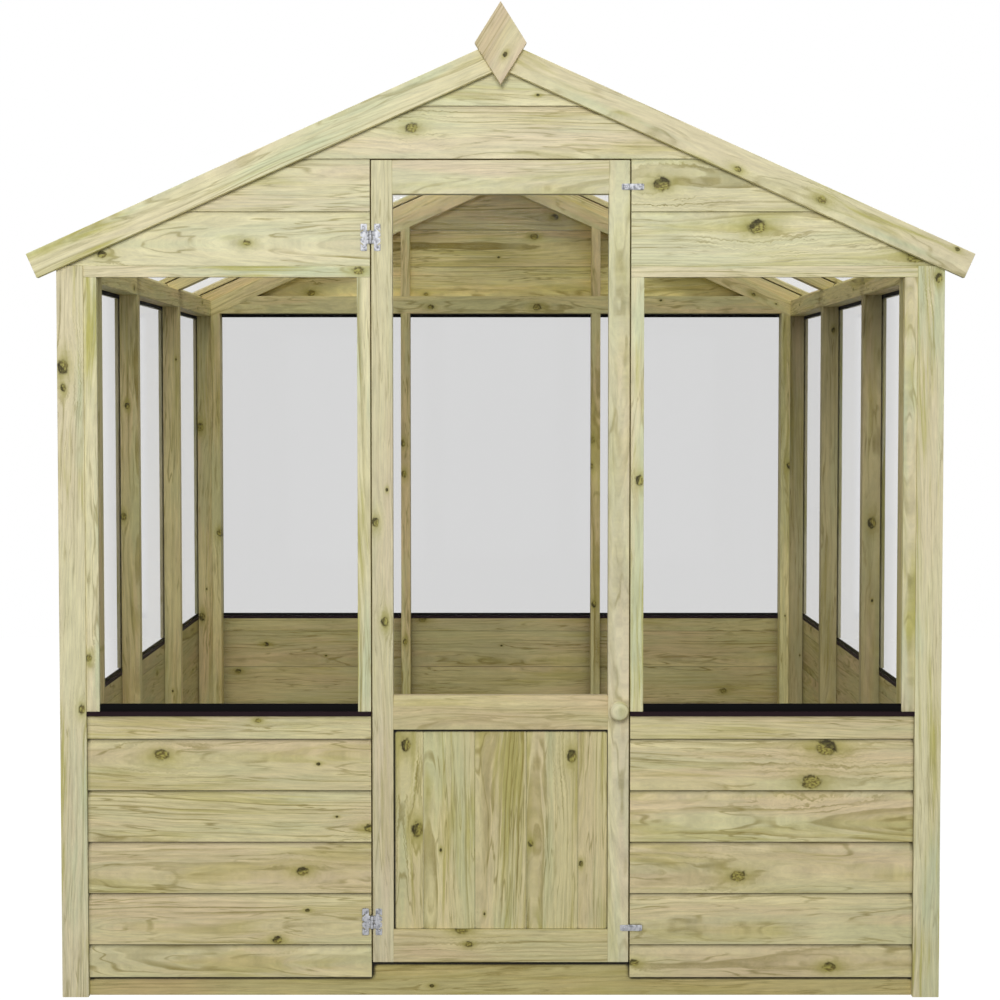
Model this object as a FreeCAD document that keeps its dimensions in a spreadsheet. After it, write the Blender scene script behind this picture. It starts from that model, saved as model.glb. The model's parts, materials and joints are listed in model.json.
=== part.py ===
import FreeCAD, Part
import math
import os

import Sketcher
from FreeCAD import Placement, Rotation, Vector

# Wooden greenhouse with a gabled roof, in millimetres.
# X is the width, Y the depth with the door at the front (-Y), Z is up.
# The origin is on the ground, at the middle of the plan.

doc = FreeCAD.newDocument("greenhouse")
sheet = doc.addObject("Spreadsheet::Sheet", "Sizes")


class Size:
    """A length held as its formula on the sheet and as its present value."""

    def __init__(self, text, value):
        self.text = text
        self.value = value

    def joined(self, sign, other, value):
        return Size(f"({self.text} {sign} {as_size(other).text})", value)

    def __add__(self, other):
        return self.joined("+", other, self.value + as_size(other).value)

    def __sub__(self, other):
        return self.joined("-", other, self.value - as_size(other).value)

    def __mul__(self, other):
        return self.joined("*", other, self.value * as_size(other).value)

    def __truediv__(self, other):
        return self.joined("/", other, self.value / as_size(other).value)

    def __neg__(self):
        return self * -1


def as_size(number):
    if isinstance(number, Size):
        return number
    return Size(f"({number})", number)


def size(alias, value, words):
    """Write one driving dimension on the sheet and return it."""
    row = size.rows = getattr(size, "rows", 0) + 1
    sheet.set(f"A{row}", words)
    sheet.set(f"B{row}", str(value))
    sheet.setAlias(f"B{row}", alias)
    return Size(f"{sheet.Name}.{alias}", value)


def tan(angle):
    return Size(f"tan({angle.text} * 1 deg)", math.tan(math.radians(angle.value)))


def cos(angle):
    return Size(f"cos({angle.text} * 1 deg)", math.cos(math.radians(angle.value)))


def sin(angle):
    return Size(f"sin({angle.text} * 1 deg)", math.sin(math.radians(angle.value)))


# Driving dimensions of the walls
panel_width = size("panel_width", 1792, "width of the gable frames, between the side walls")
panel_depth = size("panel_depth", 1778, "length of the side walls")
stud_face = size("stud_face", 28, "face width of the framing timber")
stud_deep = size("stud_deep", 45, "depth of the framing timber")
rail_tall = size("rail_tall", 72, "height of the bottom rails")
wall_tall = size("wall_tall", 1605, "underside of the roof at the inside of the side walls")
header_drop = size("header_drop", 39, "underside of the gable headers below the roof at the wall")
header_tall = size("header_tall", 53, "height of the gable headers")
plate_tall = size("plate_tall", 27, "height of the side wall plates at their outside")
trim_thick = size("trim_thick", 16, "thickness of the corner trims, bargeboards and finials")

# Driving dimensions of the cladding
clad_thick = size("clad_thick", 12, "thickness of the cladding")
clad_low = size("clad_low", 43, "lower edge of the cladding")
clad_first = size("clad_first", 72, "height of the lowest board")
clad_pitch = size("clad_pitch", 112.5, "height of a full board")
lap_thick = size("lap_thick", 6, "thickness of the lap of a board")
lap_tall = size("lap_tall", 10, "height of the lap of a board")
bevel_tall = size("bevel_tall", 20, "height of the bevel above the face of a board")
lap_gap = size("lap_gap", 0.5, "clearance between two boards")
least_board = size("least_board", 30, "height of the narrowest board worth fixing")
gable_drop = size("gable_drop", 19, "lower edge of the gable cladding below the roof at the wall")

# Driving dimensions of the glazing
sill_low = size("sill_low", 615, "underside of the sills")
sill_thick = size("sill_thick", 9, "height of the sill nosing")
sill_proud = size("sill_proud", 4, "overhang of the sill nosing over the cladding")
lip_tall = size("lip_tall", 17, "height of the lip in front of the front glazing")
low_lip_tall = size("low_lip_tall", 8, "height of the lip in front of the back and side glazing")
lip_thick = size("lip_thick", 4, "thickness of the lip in front of the glazing")
pane_thick = size("pane_thick", 4, "thickness of the glazing")
pane_gap = size("pane_gap", 2, "gap between two panes")
head_tall = size("head_tall", 24, "height of the beads over the front windows")
back_head_tall = size("back_head_tall", 30, "height of the bead over the back windows")
side_head_tall = size("side_head_tall", 31, "height of the beads over the side windows")
strip_gap = size("strip_gap", 4, "black head strips below the cladding or the roof")

# Driving dimensions of the roof
roof_pitch = size("roof_pitch", 24.17, "roof pitch in degrees")
eave_over = size("eave_over", 6, "roof panels beyond the side walls, down the slope")
barge_over = size("barge_over", 43, "bargeboards beyond the side walls, down the slope")
roof_thick = size("roof_thick", 28, "thickness of the roof timbers")
roof_face = size("roof_face", 45, "face width of the roof timbers")
batten_thick = size("batten_thick", 12, "thickness of the roof battens and capping")
cap_wide = size("cap_wide", 60, "width of a ridge capping board")
barge_drop = size("barge_drop", 3, "bargeboard below the underside of the roof")
barge_rise = size("barge_rise", 9, "bargeboard above the roof battens")
finial_wide = size("finial_wide", 110.5, "width of a finial")
finial_tall = size("finial_tall", 175, "height of a finial")
finial_drop = size("finial_drop", 10.6, "middle of a finial below the top of the bargeboards")

# Driving dimensions of the door
door_wide = size("door_wide", 555, "width of the door")
door_low = size("door_low", 76, "lower edge of the door")
door_head_tall = size("door_head_tall", 17, "space between the doorway and the gable rafters")
door_gap = size("door_gap", 3, "gap round the door")
door_thick = size("door_thick", 28, "thickness of the door")
stile_wide = size("stile_wide", 45, "width of a door stile")
top_rail_tall = size("top_rail_tall", 72, "height of the upper door rail")
mid_rail_low = size("mid_rail_low", 585, "lower edge of the middle door rail")
mid_rail_tall = size("mid_rail_tall", 73, "height of the middle door rail")
weather_tall = size("weather_tall", 20, "height of the slope on the middle rail")
weather_deep = size("weather_deep", 10, "depth of the slope on the middle rail")
foot_rail_tall = size("foot_rail_tall", 71, "height of the lower door rail")
door_board_thick = size("door_board_thick", 12, "thickness of the door boards")
door_board_back = size("door_board_back", 8, "door boards behind the face of the door")
door_board_gap = size("door_board_gap", 0.8, "gap between the door boards")
door_board_wide = size("door_board_wide", 112, "width of a full door board, cut down at the stiles")
door_pane_back = size("door_pane_back", 12, "door glazing behind the face of the door")
stop_wide = size("stop_wide", 20, "width of the door stops")
stop_thick = size("stop_thick", 12, "thickness of the door stops")
stop_gap = size("stop_gap", 0.5, "gap between the door and its stops")

# Driving dimensions of the ironmongery and the knob
leaf_tall = size("leaf_tall", 58, "height of a hinge leaf")
leaf_wide = size("leaf_wide", 14, "width of a hinge leaf")
leaf_thick = size("leaf_thick", 1.5, "thickness of a hinge leaf")
leaf_reach = size("leaf_reach", 21.5, "hinge axis to the far edge of a leaf")
barrel_radius = size("barrel_radius", 4, "radius of a hinge barrel")
barrel_tall = size("barrel_tall", 27, "height of a hinge barrel")
barrel_gap = size("barrel_gap", 0.5, "hinge barrel clear of the door and between knuckles")
pin_radius = size("pin_radius", 1.5, "radius of a hinge pin")
pin_play = size("pin_play", 0.08, "running clearance of a hinge pin")
pin_cap = size("pin_cap", 1.2, "height of the head of a hinge pin")
hinge_above = size("hinge_above", 61, "middle of the upper hinge above the foot of the gable cladding")
hinge_up = size("hinge_up", 89, "middle of the lower hinge above the foot of the door")
screw_radius = size("screw_radius", 1.5, "radius of a screw")
screw_long = size("screw_long", 10, "length of a screw in the wood")
screw_head = size("screw_head", 3, "radius of a screw head")
screw_dome = size("screw_dome", 1.2, "height of a screw head")
screw_play = size("screw_play", 0.3, "clearance of a screw in its plate")
screw_apart = size("screw_apart", 40, "distance between the screws of a leaf")
button_long = size("button_long", 48, "length of a turn button")
button_tall = size("button_tall", 13, "width of a turn button")
button_thick = size("button_thick", 2.5, "thickness of a turn button")
button_tail = size("button_tail", 10, "turn button behind its pivot")
button_inset = size("button_inset", 8, "pivot of a turn button from the edge of the door")
button_gap = size("button_gap", 0.5, "turn button clear of the door")
button_down = size("button_down", 57, "upper turn button below the top of the door")
button_up = size("button_up", 76, "lower turn button above the foot of the door")
knob_up = size("knob_up", 44.5, "middle of the knob above the foot of the middle rail")
knob_radius = size("knob_radius", 21, "radius of the knob")
knob_neck = size("knob_neck", 12, "radius of the neck of the knob")
knob_long = size("knob_long", 34, "length of the knob")
knob_bulge = size("knob_bulge", 13, "half the thickness of the rounded front of the knob")

doc.recompute()

# Places that follow from the driving dimensions
half_wide = panel_width / 2
half_deep = panel_depth / 2
side_face = half_wide + stud_deep
wall_out = side_face + clad_thick
roof_end = half_deep + trim_thick
slope = tan(roof_pitch)
roof_apex = wall_tall + slope * half_wide
roof_slope = wall_out / cos(roof_pitch) + eave_over
barge_slope = wall_out / cos(roof_pitch) + barge_over
header_low = wall_tall - header_drop
gable_low = wall_tall - gable_drop
gable_out = half_wide + gable_drop / slope
head_low = gable_low - head_tall
back_head_low = gable_low - back_head_tall
strip_high = gable_low - strip_gap
door_half = door_wide / 2
opening = door_half + door_gap
door_face = half_deep + clad_thick
sill_top = sill_low + sill_thick
lip_top = sill_top + lip_tall
low_lip_top = sill_top + low_lip_tall
roof_pane_low = roof_thick
batten_low = roof_thick + pane_thick
batten_top = batten_low + batten_thick


def roof_under(across):
    """Height of the underside of the roof at a distance from the ridge."""
    return roof_apex - slope * across


def rafter_under(across):
    """Height of the underside of the gable rafters."""
    return roof_under(across) - stud_deep / cos(roof_pitch)


plate_low = roof_under(side_face) - plate_tall
side_head_low = roof_under(wall_out) - side_head_tall
door_head_low = rafter_under(opening) - door_head_tall
door_high = door_head_low - door_gap


def bind(thing, name, length):
    thing.setExpression(name, length.text)


def put(thing, x, y, z):
    for axis, length in zip("xyz", (x, y, z)):
        bind(thing, f"Placement.Base.{axis}", as_size(length))


def box(name, x, y, z):
    """A block between pairs of X, Y and Z."""
    block = doc.addObject("Part::Box", name)
    for side, (low, high) in zip(("Length", "Width", "Height"), (x, y, z)):
        bind(block, side, as_size(high) - low)
    put(block, x[0], y[0], z[0])
    return block


def rod(name, radius, length, x, y, z, axis="z"):
    """A cylinder along +Z or +Y from a point."""
    bar = doc.addObject("Part::Cylinder", name)
    bind(bar, "Radius", as_size(radius))
    bind(bar, "Height", as_size(length))
    if axis == "y":
        bar.Placement = Placement(Vector(), Rotation(Vector(1, 0, 0), -90))
    put(bar, x, y, z)
    return bar


def prism(name, plane, outline, start, end):
    """Pad an outline drawn in XZ along Y, or one drawn in YZ along X, between two places."""
    body = doc.addObject("PartDesign::Body", name)
    sketch = body.newObject("Sketcher::SketchObject", f"{name}_outline")
    planes = {feature.Role: feature for feature in body.Origin.OriginFeatures}
    sketch.AttachmentSupport = [(planes[f"{plane}_Plane"], "")]
    sketch.MapMode = "FlatFace"
    points = [(as_size(u), as_size(v)) for u, v in outline]
    corners = [Vector(u.value, v.value, 0) for u, v in points]
    count = len(points)
    for i in range(count):
        sketch.addGeometry(Part.LineSegment(corners[i], corners[(i + 1) % count]))
    for i in range(count):
        sketch.addConstraint(Sketcher.Constraint("Coincident", i, 2, (i + 1) % count, 1))
    for i, point in enumerate(points):
        for kind, length in zip(("DistanceX", "DistanceY"), point):
            row = sketch.addConstraint(Sketcher.Constraint(kind, -1, 1, i, 1, length.value))
            sketch.setExpression(f"Constraints[{row}]", length.text)
    pad = body.newObject("PartDesign::Pad", f"{name}_pad")
    pad.Profile = sketch
    bind(pad, "Length", as_size(end) - start)
    if plane == "XZ":
        put(body, 0, end, 0)
    else:
        put(body, start, 0, 0)
    return body


def boolean(kind, name, base, tool):
    result = doc.addObject(f"Part::{kind}", name)
    result.Base = base
    result.Tool = tool
    return result


def group(name, members):
    """Several like pieces that share one node."""
    bunch = doc.addObject("Part::Compound", name)
    bunch.Links = members
    return bunch


nodes = []


def node(piece, label):
    piece.Label = label
    nodes.append(piece)
    return piece


SIDES = (("left", -1), ("right", 1))
ENDS = (("front", -1), ("back", 1))


def span(sign, low, high):
    """A pair of places, low to high on the positive side, or its mirror image."""
    if sign > 0:
        return as_size(low), as_size(high)
    return -as_size(high), -as_size(low)


# Bottom rails
for end, sign in ENDS:
    place = span(sign, half_deep - stud_deep, half_deep)
    node(box(f"{end}_rail", (-half_wide, half_wide), place, (0, rail_tall)), f"{end}_bottom_rail")
side_rails = []
for side, sign in SIDES:
    across = span(sign, half_wide, side_face)
    side_rails.append(box(f"{side}_rail", across, (-half_deep, half_deep), (0, rail_tall)))
node(group("side_rails", side_rails), "side_bottom_rails")

# Gable frames: everything upright or level is cut off under the gable rafters
under_rafters = prism(
    "under_rafters",
    "XZ",
    [
        (-half_wide, 0),
        (half_wide, 0),
        (half_wide, rafter_under(half_wide)),
        (0, rafter_under(0)),
        (-half_wide, rafter_under(half_wide)),
    ],
    -half_deep,
    half_deep,
)


def framed(name, x, sign, z):
    """A member of a gable frame, cut to the slope of the gable rafters."""
    stock = box(f"{name}_stock", x, span(sign, half_deep - stud_deep, half_deep), z)
    return boolean("Common", name, stock, under_rafters)


header_high = header_low + header_tall
post_in = half_wide - stud_face
jamb_out = opening + stud_face
for end, sign in ENDS:
    posts = []
    rafters = []
    for side, hand in SIDES:
        across = span(hand, post_in, half_wide)
        posts.append(framed(f"{end}_{side}_post", across, sign, (rail_tall, roof_apex)))
        outline = [
            (0, rafter_under(0)),
            (0, roof_apex),
            (half_wide * hand, wall_tall),
            (half_wide * hand, rafter_under(half_wide)),
        ]
        place = span(sign, half_deep - stud_deep, half_deep)
        rafters.append(prism(f"{end}_{side}_rafter", "XZ", outline, *place))
    node(group(f"{end}_post_pair", posts), f"{end}_posts")
    node(group(f"{end}_rafter_pair", rafters), f"{end}_gable_rafters")

jambs = []
headers = []
studs = []
for side, hand in SIDES:
    across = span(hand, opening, jamb_out)
    jambs.append(framed(f"{side}_jamb", across, -1, (rail_tall, roof_apex)))
    headers.append(framed(f"{side}_header", span(hand, jamb_out, post_in), -1, (header_low, header_high)))
    studs.append(framed(f"{side}_lower_stud", across, 1, (rail_tall, header_low)))
    studs.append(framed(f"{side}_upper_stud", across, 1, (header_high, roof_apex)))
door_head = framed("door_head", (-opening, opening), -1, (door_head_low, rafter_under(opening)))
node(group("jamb_pair", jambs), "door_posts")
node(group("front_header_set", headers + [door_head]), "front_headers")
node(group("back_stud_set", studs), "back_studs")
node(framed("back_head", (-post_in, post_in), 1, (header_low, header_high)), "back_header")

# Side frames: four studs and a wall plate that follows the roof
stud_places = [(half_deep - stud_face / 2) * share for share in (-1, -1 / 3, 1 / 3, 1)]
plates = []
for side, hand in SIDES:
    across = span(hand, half_wide, side_face)
    uprights = []
    for i, middle in enumerate(stud_places):
        along = (middle - stud_face / 2, middle + stud_face / 2)
        uprights.append(box(f"{side}_stud_{i}", across, along, (rail_tall, plate_low)))
    node(group(f"{side}_stud_set", uprights), f"{side}_studs")
    outline = [
        (half_wide * hand, plate_low),
        (side_face * hand, plate_low),
        (side_face * hand, roof_under(side_face)),
        (half_wide * hand, wall_tall),
    ]
    plates.append(prism(f"{side}_plate", "XZ", outline, -half_deep, half_deep))
node(group("plate_pair", plates), "wall_plates")


# Cladding
def board_outline(low, high, place, lapped_below, lapped_above):
    """Section of a board: place turns a depth in front of the frame into a coordinate."""
    points = []
    if lapped_below:
        points += [(lap_thick + lap_gap, low + lap_tall + lap_gap), (lap_thick + lap_gap, low)]
    else:
        points += [(as_size(0), low)]
    points += [(clad_thick, low)]
    if lapped_above:
        points += [(clad_thick, high - bevel_tall), (lap_thick, high)]
        points += [(lap_thick, high + lap_tall), (as_size(0), high + lap_tall)]
    else:
        points += [(clad_thick, high), (as_size(0), high)]
    if lapped_below:
        points += [(as_size(0), low + lap_tall + lap_gap)]
    return [(place(depth), height) for depth, height in points]


def lower_boards(name, plane, place, start, end):
    """Boards of a wall, from the ground up to the sill."""
    edges = [clad_low, clad_low + clad_first]
    while edges[-1].value + clad_pitch.value + least_board.value < sill_low.value:
        edges.append(edges[-1] + clad_pitch)
    edges.append(sill_low)
    boards = []
    for i in range(len(edges) - 1):
        outline = board_outline(edges[i], edges[i + 1], place, i > 0, i < len(edges) - 2)
        boards.append(prism(f"{name}_board_{i}", plane, outline, start, end))
    return boards


def in_front(sign):
    return lambda depth: (half_deep + depth) * sign


def beside(hand):
    return lambda depth: (side_face + depth) * hand


for side, hand in SIDES:
    boards = lower_boards(f"front_{side}", "YZ", in_front(-1), *span(hand, opening, half_wide))
    node(group(f"front_{side}_boards", boards), f"front_{side}_cladding")
    boards = lower_boards(side, "XZ", beside(hand), -half_deep, half_deep)
    node(group(f"{side}_boards", boards), f"{side}_cladding")
boards = lower_boards("back", "YZ", in_front(1), -half_wide, half_wide)
node(group("back_boards", boards), "back_cladding")

# Gable cladding: one joint between the boards is level with the top of the doorway
gable_edges = [door_head_low]
while gable_edges[0].value - clad_pitch.value > gable_low.value + least_board.value:
    gable_edges.insert(0, gable_edges[0] - clad_pitch)
while gable_edges[-1].value + clad_pitch.value < roof_apex.value - least_board.value:
    gable_edges.append(gable_edges[-1] + clad_pitch)
gable_edges = [gable_low] + gable_edges + [roof_apex]
gable_outline = [(-gable_out, gable_low), (gable_out, gable_low), (0, roof_apex)]
beside_doorway = [span(hand, opening, gable_out) for _, hand in SIDES]
whole_gable = [(-gable_out, gable_out)]
for end, sign in ENDS:
    outline_block = prism(f"{end}_gable", "XZ", gable_outline, *span(sign, half_deep, door_face))
    boards = []
    for i in range(len(gable_edges) - 1):
        low, high = gable_edges[i:i + 2]
        section = board_outline(low, high, in_front(sign), i > 0, i < len(gable_edges) - 2)
        parted = end == "front" and low.value < door_head_low.value
        for run in beside_doorway if parted else whole_gable:
            name = f"{end}_gable_board_{len(boards)}"
            stock = prism(f"{name}_stock", "YZ", section, *run)
            boards.append(boolean("Common", name, stock, outline_block))
    node(group(f"{end}_gable_boards", boards), f"{end}_gable_cladding")


# Sills, head strips, panes and beads
def sill(name, sign, whole, lip, lip_high):
    """A nosing along the front or the back, with a lip in front of the glazing."""
    nosing_place = span(sign, half_deep, door_face + sill_proud)
    lip_place = span(sign, half_deep + pane_thick, half_deep + pane_thick + lip_thick)
    nosing = box(f"{name}_nosing", whole, nosing_place, (sill_low, sill_top))
    upstand = box(f"{name}_lip", lip, lip_place, (sill_top, lip_high))
    return boolean("Fuse", name, nosing, upstand)


glass_in = pane_gap / 2
bead_low = half_deep + pane_thick
front_sills = []
front_beads = []
front_panes = []
head_strips = []
bead_places = (("inner", opening, jamb_out), ("outer", post_in, half_wide))
for side, hand in SIDES:
    window = span(hand, opening, half_wide)
    lip = span(hand, jamb_out, post_in)
    front_sills.append(sill(f"front_{side}_sill", -1, window, lip, lip_top))
    place = span(-1, bead_low, door_face)
    for name, low, high in bead_places:
        bead = box(f"front_{side}_{name}_bead", span(hand, low, high), place, (sill_top, head_low))
        front_beads.append(bead)
    front_beads.append(box(f"front_{side}_head_bead", window, place, (head_low, gable_low)))
    pane = span(hand, opening + glass_in, half_wide - glass_in)
    place = span(-1, half_deep, bead_low)
    front_panes.append(box(f"front_{side}_pane", pane, place, (sill_top, head_low)))
    head_strips.append(box(f"front_{side}_strip", window, place, (head_low, strip_high)))
node(group("front_sill_pair", front_sills), "front_sills")
node(group("front_bead_set", front_beads), "front_beads")
node(group("front_pane_pair", front_panes), "front_panes")

back_wall = (-half_wide, half_wide)
node(sill("back_nosed_sill", 1, back_wall, back_wall, low_lip_top), "back_sill")
place = (bead_low, door_face)
back_beads = [box("back_head_bead", back_wall, place, (back_head_low, gable_low))]
for side, hand in SIDES:
    for name, low, high in bead_places:
        across = span(hand, low, high)
        back_beads.append(box(f"back_{side}_{name}_bead", across, place, (low_lip_top, back_head_low)))
node(group("back_bead_set", back_beads), "back_beads")
back_panes = []
stud_middle = opening + stud_face / 2
edges = [-half_wide, -stud_middle, stud_middle, half_wide]
for i in range(3):
    across = (edges[i] + glass_in, edges[i + 1] - glass_in)
    back_panes.append(box(f"back_pane_{i}", across, (half_deep, bead_low), (sill_top, back_head_low)))
node(group("back_pane_set", back_panes), "back_panes")
head_strips.append(box("back_strip", back_wall, (half_deep, bead_low), (back_head_low, strip_high)))

side_sills = []
side_beads = []
side_run = (-half_deep, half_deep)
side_bead_low = side_face + pane_thick
edges = [-half_deep, stud_places[1], stud_places[2], half_deep]
for side, hand in SIDES:
    nosing_place = span(hand, side_face, wall_out + sill_proud)
    nosing = box(f"{side}_nosing", nosing_place, side_run, (sill_low, sill_top))
    lip_place = span(hand, side_bead_low, side_bead_low + lip_thick)
    upstand = box(f"{side}_lip", lip_place, side_run, (sill_top, low_lip_top))
    side_sills.append(boolean("Fuse", f"{side}_sill", nosing, upstand))
    bead_place = span(hand, side_bead_low, wall_out)
    side_beads.append(box(f"{side}_head_bead", bead_place, side_run, (side_head_low, roof_under(wall_out))))
    for i, middle in enumerate(stud_places):
        along = (middle - stud_face / 2, middle + stud_face / 2)
        side_beads.append(box(f"{side}_bead_{i}", bead_place, along, (low_lip_top, side_head_low)))
    pane_place = span(hand, side_face, side_bead_low)
    panes = []
    for i in range(3):
        along = (edges[i] + glass_in, edges[i + 1] - glass_in)
        panes.append(box(f"{side}_pane_{i}", pane_place, along, (sill_top, side_head_low)))
    node(group(f"{side}_pane_set", panes), f"{side}_panes")
    strip_top = roof_under(wall_out) - strip_gap
    head_strips.append(box(f"{side}_strip", pane_place, side_run, (side_head_low, strip_top)))
node(group("side_sill_pair", side_sills), "side_sills")
node(group("side_bead_set", side_beads), "side_beads")
node(group("head_strip_set", head_strips), "head_strips")

# Corner trims
trims = []
for end, sign in ENDS:
    for side, hand in SIDES:
        outline = [
            (half_wide * hand, 0),
            (wall_out * hand, 0),
            (wall_out * hand, roof_under(wall_out)),
            (gable_out * hand, gable_low),
            (half_wide * hand, gable_low),
        ]
        trims.append(prism(f"{end}_{side}_trim", "XZ", outline, *span(sign, half_deep, roof_end)))
node(group("trim_set", trims), "corner_trims")


def on_slope(hand, down, up):
    """A point of the roof: down the slope from the ridge and up from its underside."""
    across = down * cos(roof_pitch) + up * sin(roof_pitch)
    return across * hand, roof_apex - down * sin(roof_pitch) + up * cos(roof_pitch)


def on_ridge(up):
    return as_size(0), roof_apex + as_size(up) / cos(roof_pitch)


def slab(hand, start, end, low, high):
    """Section of a roof timber between two places down the slope, and between two heights."""
    start = as_size(start)
    end = as_size(end)
    low = as_size(low)
    high = as_size(high)
    return [
        on_slope(hand, start, low),
        on_slope(hand, end, low),
        on_slope(hand, end, high),
        on_slope(hand, start, high),
    ]


def ridge_slab(hand, end, low, high):
    """Section of a roof timber that is cut plumb at the ridge."""
    low = as_size(low)
    high = as_size(high)
    return [on_ridge(low), on_slope(hand, end, low), on_slope(hand, end, high), on_ridge(high)]


# Bargeboards, and a finial in front of their joint at each end
barge_high = batten_top + barge_rise
barge_face = roof_end + trim_thick
finial_mid = on_ridge(barge_high)[1] - finial_drop
finials = []
for end, sign in ENDS:
    boards = []
    for side, hand in SIDES:
        outline = ridge_slab(hand, barge_slope, -barge_drop, barge_high)
        boards.append(prism(f"{end}_{side}_barge", "XZ", outline, *span(sign, roof_end, barge_face)))
    node(group(f"{end}_barge_pair", boards), f"{end}_bargeboards")
    outline = [
        (0, finial_mid - finial_tall / 2),
        (finial_wide / 2, finial_mid),
        (0, finial_mid + finial_tall / 2),
        (-finial_wide / 2, finial_mid),
    ]
    finials.append(prism(f"{end}_finial", "XZ", outline, *span(sign, barge_face, barge_face + trim_thick)))
node(group("finial_pair", finials), "finials")

# Roof panels: a frame, three panes, battens over the rafters and a ridge capping
rafter_places = [(roof_end - roof_face / 2) * share for share in (-1, -1 / 3, 1 / 3, 1)]
edges = [-roof_end, rafter_places[1], rafter_places[2], roof_end]
capping = []
for side, hand in SIDES:
    run = (-roof_end, roof_end)
    ridge_rail = prism(f"{side}_ridge_rail", "XZ", ridge_slab(hand, roof_face, 0, roof_thick), *run)
    eave = slab(hand, roof_slope - roof_face, roof_slope, 0, roof_thick)
    frame = [ridge_rail, prism(f"{side}_eave_rail", "XZ", eave, *run)]
    battens = []
    for i, middle in enumerate(rafter_places):
        along = (middle - roof_face / 2, middle + roof_face / 2)
        outline = slab(hand, roof_face, roof_slope - roof_face, 0, roof_thick)
        frame.append(prism(f"{side}_roof_rafter_{i}", "XZ", outline, *along))
        outline = slab(hand, cap_wide, roof_slope, batten_low, batten_top)
        battens.append(prism(f"{side}_batten_{i}", "XZ", outline, *along))
    panes = []
    for i in range(3):
        along = (edges[i] + glass_in, edges[i + 1] - glass_in)
        outline = slab(hand, pane_gap, roof_slope, roof_pane_low, batten_low)
        panes.append(prism(f"{side}_roof_pane_{i}", "XZ", outline, *along))
    capping.append(prism(f"{side}_cap", "XZ", ridge_slab(hand, cap_wide, batten_low, batten_top), *run))
    node(group(f"{side}_roof_set", frame), f"{side}_roof_frame")
    node(group(f"{side}_batten_set", battens), f"{side}_roof_battens")
    node(group(f"{side}_roof_pane_set", panes), f"{side}_roof_panes")
node(group("cap_pair", capping), "ridge_capping")

# Door leaf
door_back = door_face - door_thick
stile_in = door_half - stile_wide
leaf_place = span(-1, door_back, door_face)
mid_rail_high = mid_rail_low + mid_rail_tall
foot_rail_high = door_low + foot_rail_tall
top_rail_low = door_high - top_rail_tall
rail_run = (-stile_in, stile_in)
stiles = []
for side, hand in SIDES:
    stiles.append(box(f"{side}_stile", span(hand, stile_in, door_half), leaf_place, (door_low, door_high)))
node(group("stile_pair", stiles), "door_stiles")
node(box("top_rail", rail_run, leaf_place, (top_rail_low, door_high)), "door_top_rail")
node(box("foot_rail", rail_run, leaf_place, (door_low, foot_rail_high)), "door_bottom_rail")
mid_rail_outline = [
    (-door_face, mid_rail_low),
    (-door_face, mid_rail_high - weather_tall),
    (-(door_face - weather_deep), mid_rail_high),
    (-door_back, mid_rail_high),
    (-door_back, mid_rail_low),
]
node(prism("mid_rail", "YZ", mid_rail_outline, *rail_run), "door_mid_rail")
board_front = door_face - door_board_back
board_joints = [door_board_wide * step for step in (-1.5, -0.5, 0.5, 1.5)]
board_edges = [-stile_in, *board_joints, stile_in]
door_boards = []
for i, (low, high) in enumerate(zip(board_edges, board_edges[1:])):
    across = (low + door_board_gap / 2, high - door_board_gap / 2)
    place = span(-1, board_front - door_board_thick, board_front)
    door_boards.append(box(f"door_board_{i}", across, place, (foot_rail_high, mid_rail_low)))
node(group("door_board_set", door_boards), "door_panel")
pane_front = door_face - door_pane_back
pane_place = span(-1, pane_front - pane_thick, pane_front)
node(box("door_glass", rail_run, pane_place, (mid_rail_high, top_rail_low)), "door_pane")

# Door stops on the door posts and under the door head
stop_place = span(-1, door_back - stop_gap - stop_thick, door_back - stop_gap)
stops = [box("top_stop", (-opening, opening), stop_place, (door_head_low - stop_wide, door_head_low))]
for side, hand in SIDES:
    across = span(hand, opening - stop_wide, opening)
    stops.append(box(f"{side}_stop", across, stop_place, (rail_tall, door_head_low - stop_wide)))
node(group("stop_set", stops), "door_stops")

# Hinges: a leaf on the wall with the middle knuckle, a leaf on the door with the outer ones
axis_x = -(door_half + door_gap / 2)
axis_y = -(door_face + barrel_gap + barrel_radius)
leaf_front = -(door_face + leaf_thick)
knuckle = barrel_tall / 3
bore_radius = pin_radius + pin_play


def screw(name, x, y, z):
    """A domed screw whose head rests on a plate at y and whose shank points inwards."""
    shank = rod(f"{name}_shank", screw_radius, leaf_thick + screw_long, x, y, z, "y")
    head = rod(f"{name}_head", screw_head, screw_dome, x, y - screw_dome, z, "y")
    return boolean("Fuse", name, shank, head)


def beside_axis(hand, near, far):
    """Two places beside the hinge axis, on the wall's side or on the door's."""
    low, high = span(hand, near, far)
    return axis_x + low, axis_x + high


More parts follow.
